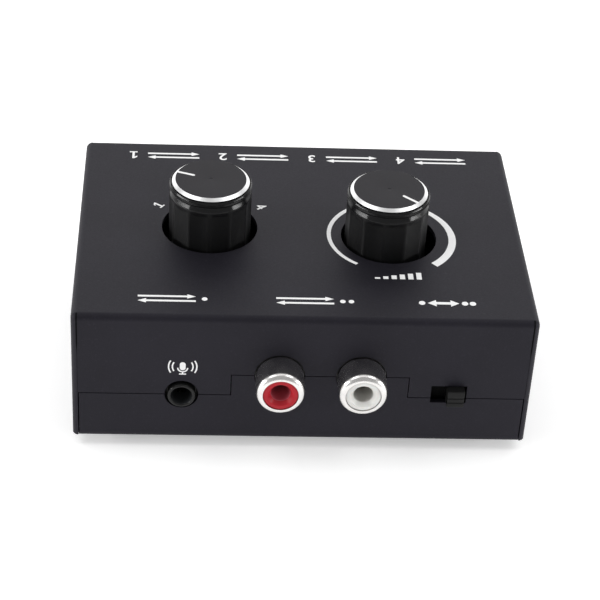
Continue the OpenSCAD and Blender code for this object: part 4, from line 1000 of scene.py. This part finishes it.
class SWITCHBOX_OT_set_stage(bpy.types.Operator):
    """Set the pale floor, the soft lights and the camera"""
    bl_idname = "switch_box.set_stage"
    bl_label = "Set the stage"

    def execute(self, context):
        scene, stage = context.scene, context.scene.switch_box_stage
        data = bpy.data.cameras.new("camera")
        data.lens, data.sensor_width, data.clip_start = stage.camera_lens, 36.0, 0.01
        camera = bpy.data.objects.new("camera", data)
        scene.collection.objects.link(camera)
        back = (Vector(stage.camera_place) - Vector(stage.camera_aim)).normalized()
        right = Vector((0, 0, 1)).cross(back).normalized()
        level = Matrix((right, back.cross(right), back)).transposed().to_4x4()
        camera.matrix_world = (Matrix.Translation(stage.camera_place) @ level
                               @ Matrix.Rotation(stage.camera_roll, 4, "Z"))
        scene.camera = camera

        lines, half = 9, 2.0
        edge = np.linspace(-half, half, lines)
        across, along = np.meshgrid(edge, edge)
        points = np.stack([across, along, np.zeros_like(across)], -1).reshape(-1, 3)
        mesh = bpy.data.meshes.new("floor")
        mesh.from_pydata(points.tolist(), [], grid_faces(lines, lines).tolist())
        look = Finish("floor_white", roughness=0.7, emission_color=(1, 1, 1, 1),
                      emission_strength=stage.table_glow)
        look.give("Base Color", look.blend(look.noise(look.place, 3.0), grey(0.93), grey(0.95)))
        mesh.materials.append(look.material)
        floor = bpy.data.objects.new("floor", mesh)
        scene.collection.objects.link(floor)

        world = bpy.data.worlds.new("surround")
        world.use_nodes = True
        world.node_tree.nodes["Background"].inputs["Color"].default_value = (1, 1, 1, 1)
        world.node_tree.nodes["Background"].inputs["Strength"].default_value = stage.surround
        scene.world = world
        for light in LIGHTS:
            area_light(*light)
        scene.view_settings.view_transform = "Standard"
        return {"FINISHED"}


class SWITCHBOX_PT_tools(bpy.types.Panel):
    """Steps that dress the switch box, and the values that they use"""
    bl_idname = "SWITCHBOX_PT_tools"
    bl_label = "Switch box"
    bl_space_type = "VIEW_3D"
    bl_region_type = "UI"
    bl_category = "Switch box"

    def draw(self, context):
        for operator in STEPS:
            self.layout.operator(operator.bl_idname)
        for settings in (context.scene.switch_box_sizes, context.scene.switch_box_colours,
                         context.scene.switch_box_stage):
            column = self.layout.column(align=True)
            for name in settings.bl_rna.properties.keys():
                if name not in ("rna_type", "name"):
                    column.prop(settings, name)


STEPS = (SWITCHBOX_OT_paint_case, SWITCHBOX_OT_open_joints, SWITCHBOX_OT_finish_works,
         SWITCHBOX_OT_make_knobs, SWITCHBOX_OT_make_phono, SWITCHBOX_OT_make_slider,
         SWITCHBOX_OT_print_marks, SWITCHBOX_OT_set_stage)
SETTINGS = {"switch_box_sizes": SwitchBoxSizes, "switch_box_colours": SwitchBoxColours,
            "switch_box_stage": SwitchBoxStage}


def register():
    """Registers the settings, steps and panel."""
    for group in SETTINGS.values():
        bpy.utils.register_class(group)
    for name, group in SETTINGS.items():
        setattr(bpy.types.Scene, name, PointerProperty(type=group))
    for step in STEPS + (SWITCHBOX_PT_tools,):
        bpy.utils.register_class(step)


def unregister():
    """Takes the settings, steps and panel away again."""
    for step in (SWITCHBOX_PT_tools,) + STEPS:
        bpy.utils.unregister_class(step)
    for name, group in SETTINGS.items():
        delattr(bpy.types.Scene, name)
        bpy.utils.unregister_class(group)


def main():
    register()
    make_effects()
    bpy.ops.switch_box.set_stage()
    bpy.ops.switch_box.paint_case()
    bpy.ops.switch_box.open_joints()
    bpy.ops.switch_box.finish_works()
    bpy.ops.switch_box.make_knobs()
    bpy.ops.switch_box.make_phono()
    bpy.ops.switch_box.make_slider()
    bpy.ops.switch_box.print_marks()


if __name__ == "__main__":
    main()
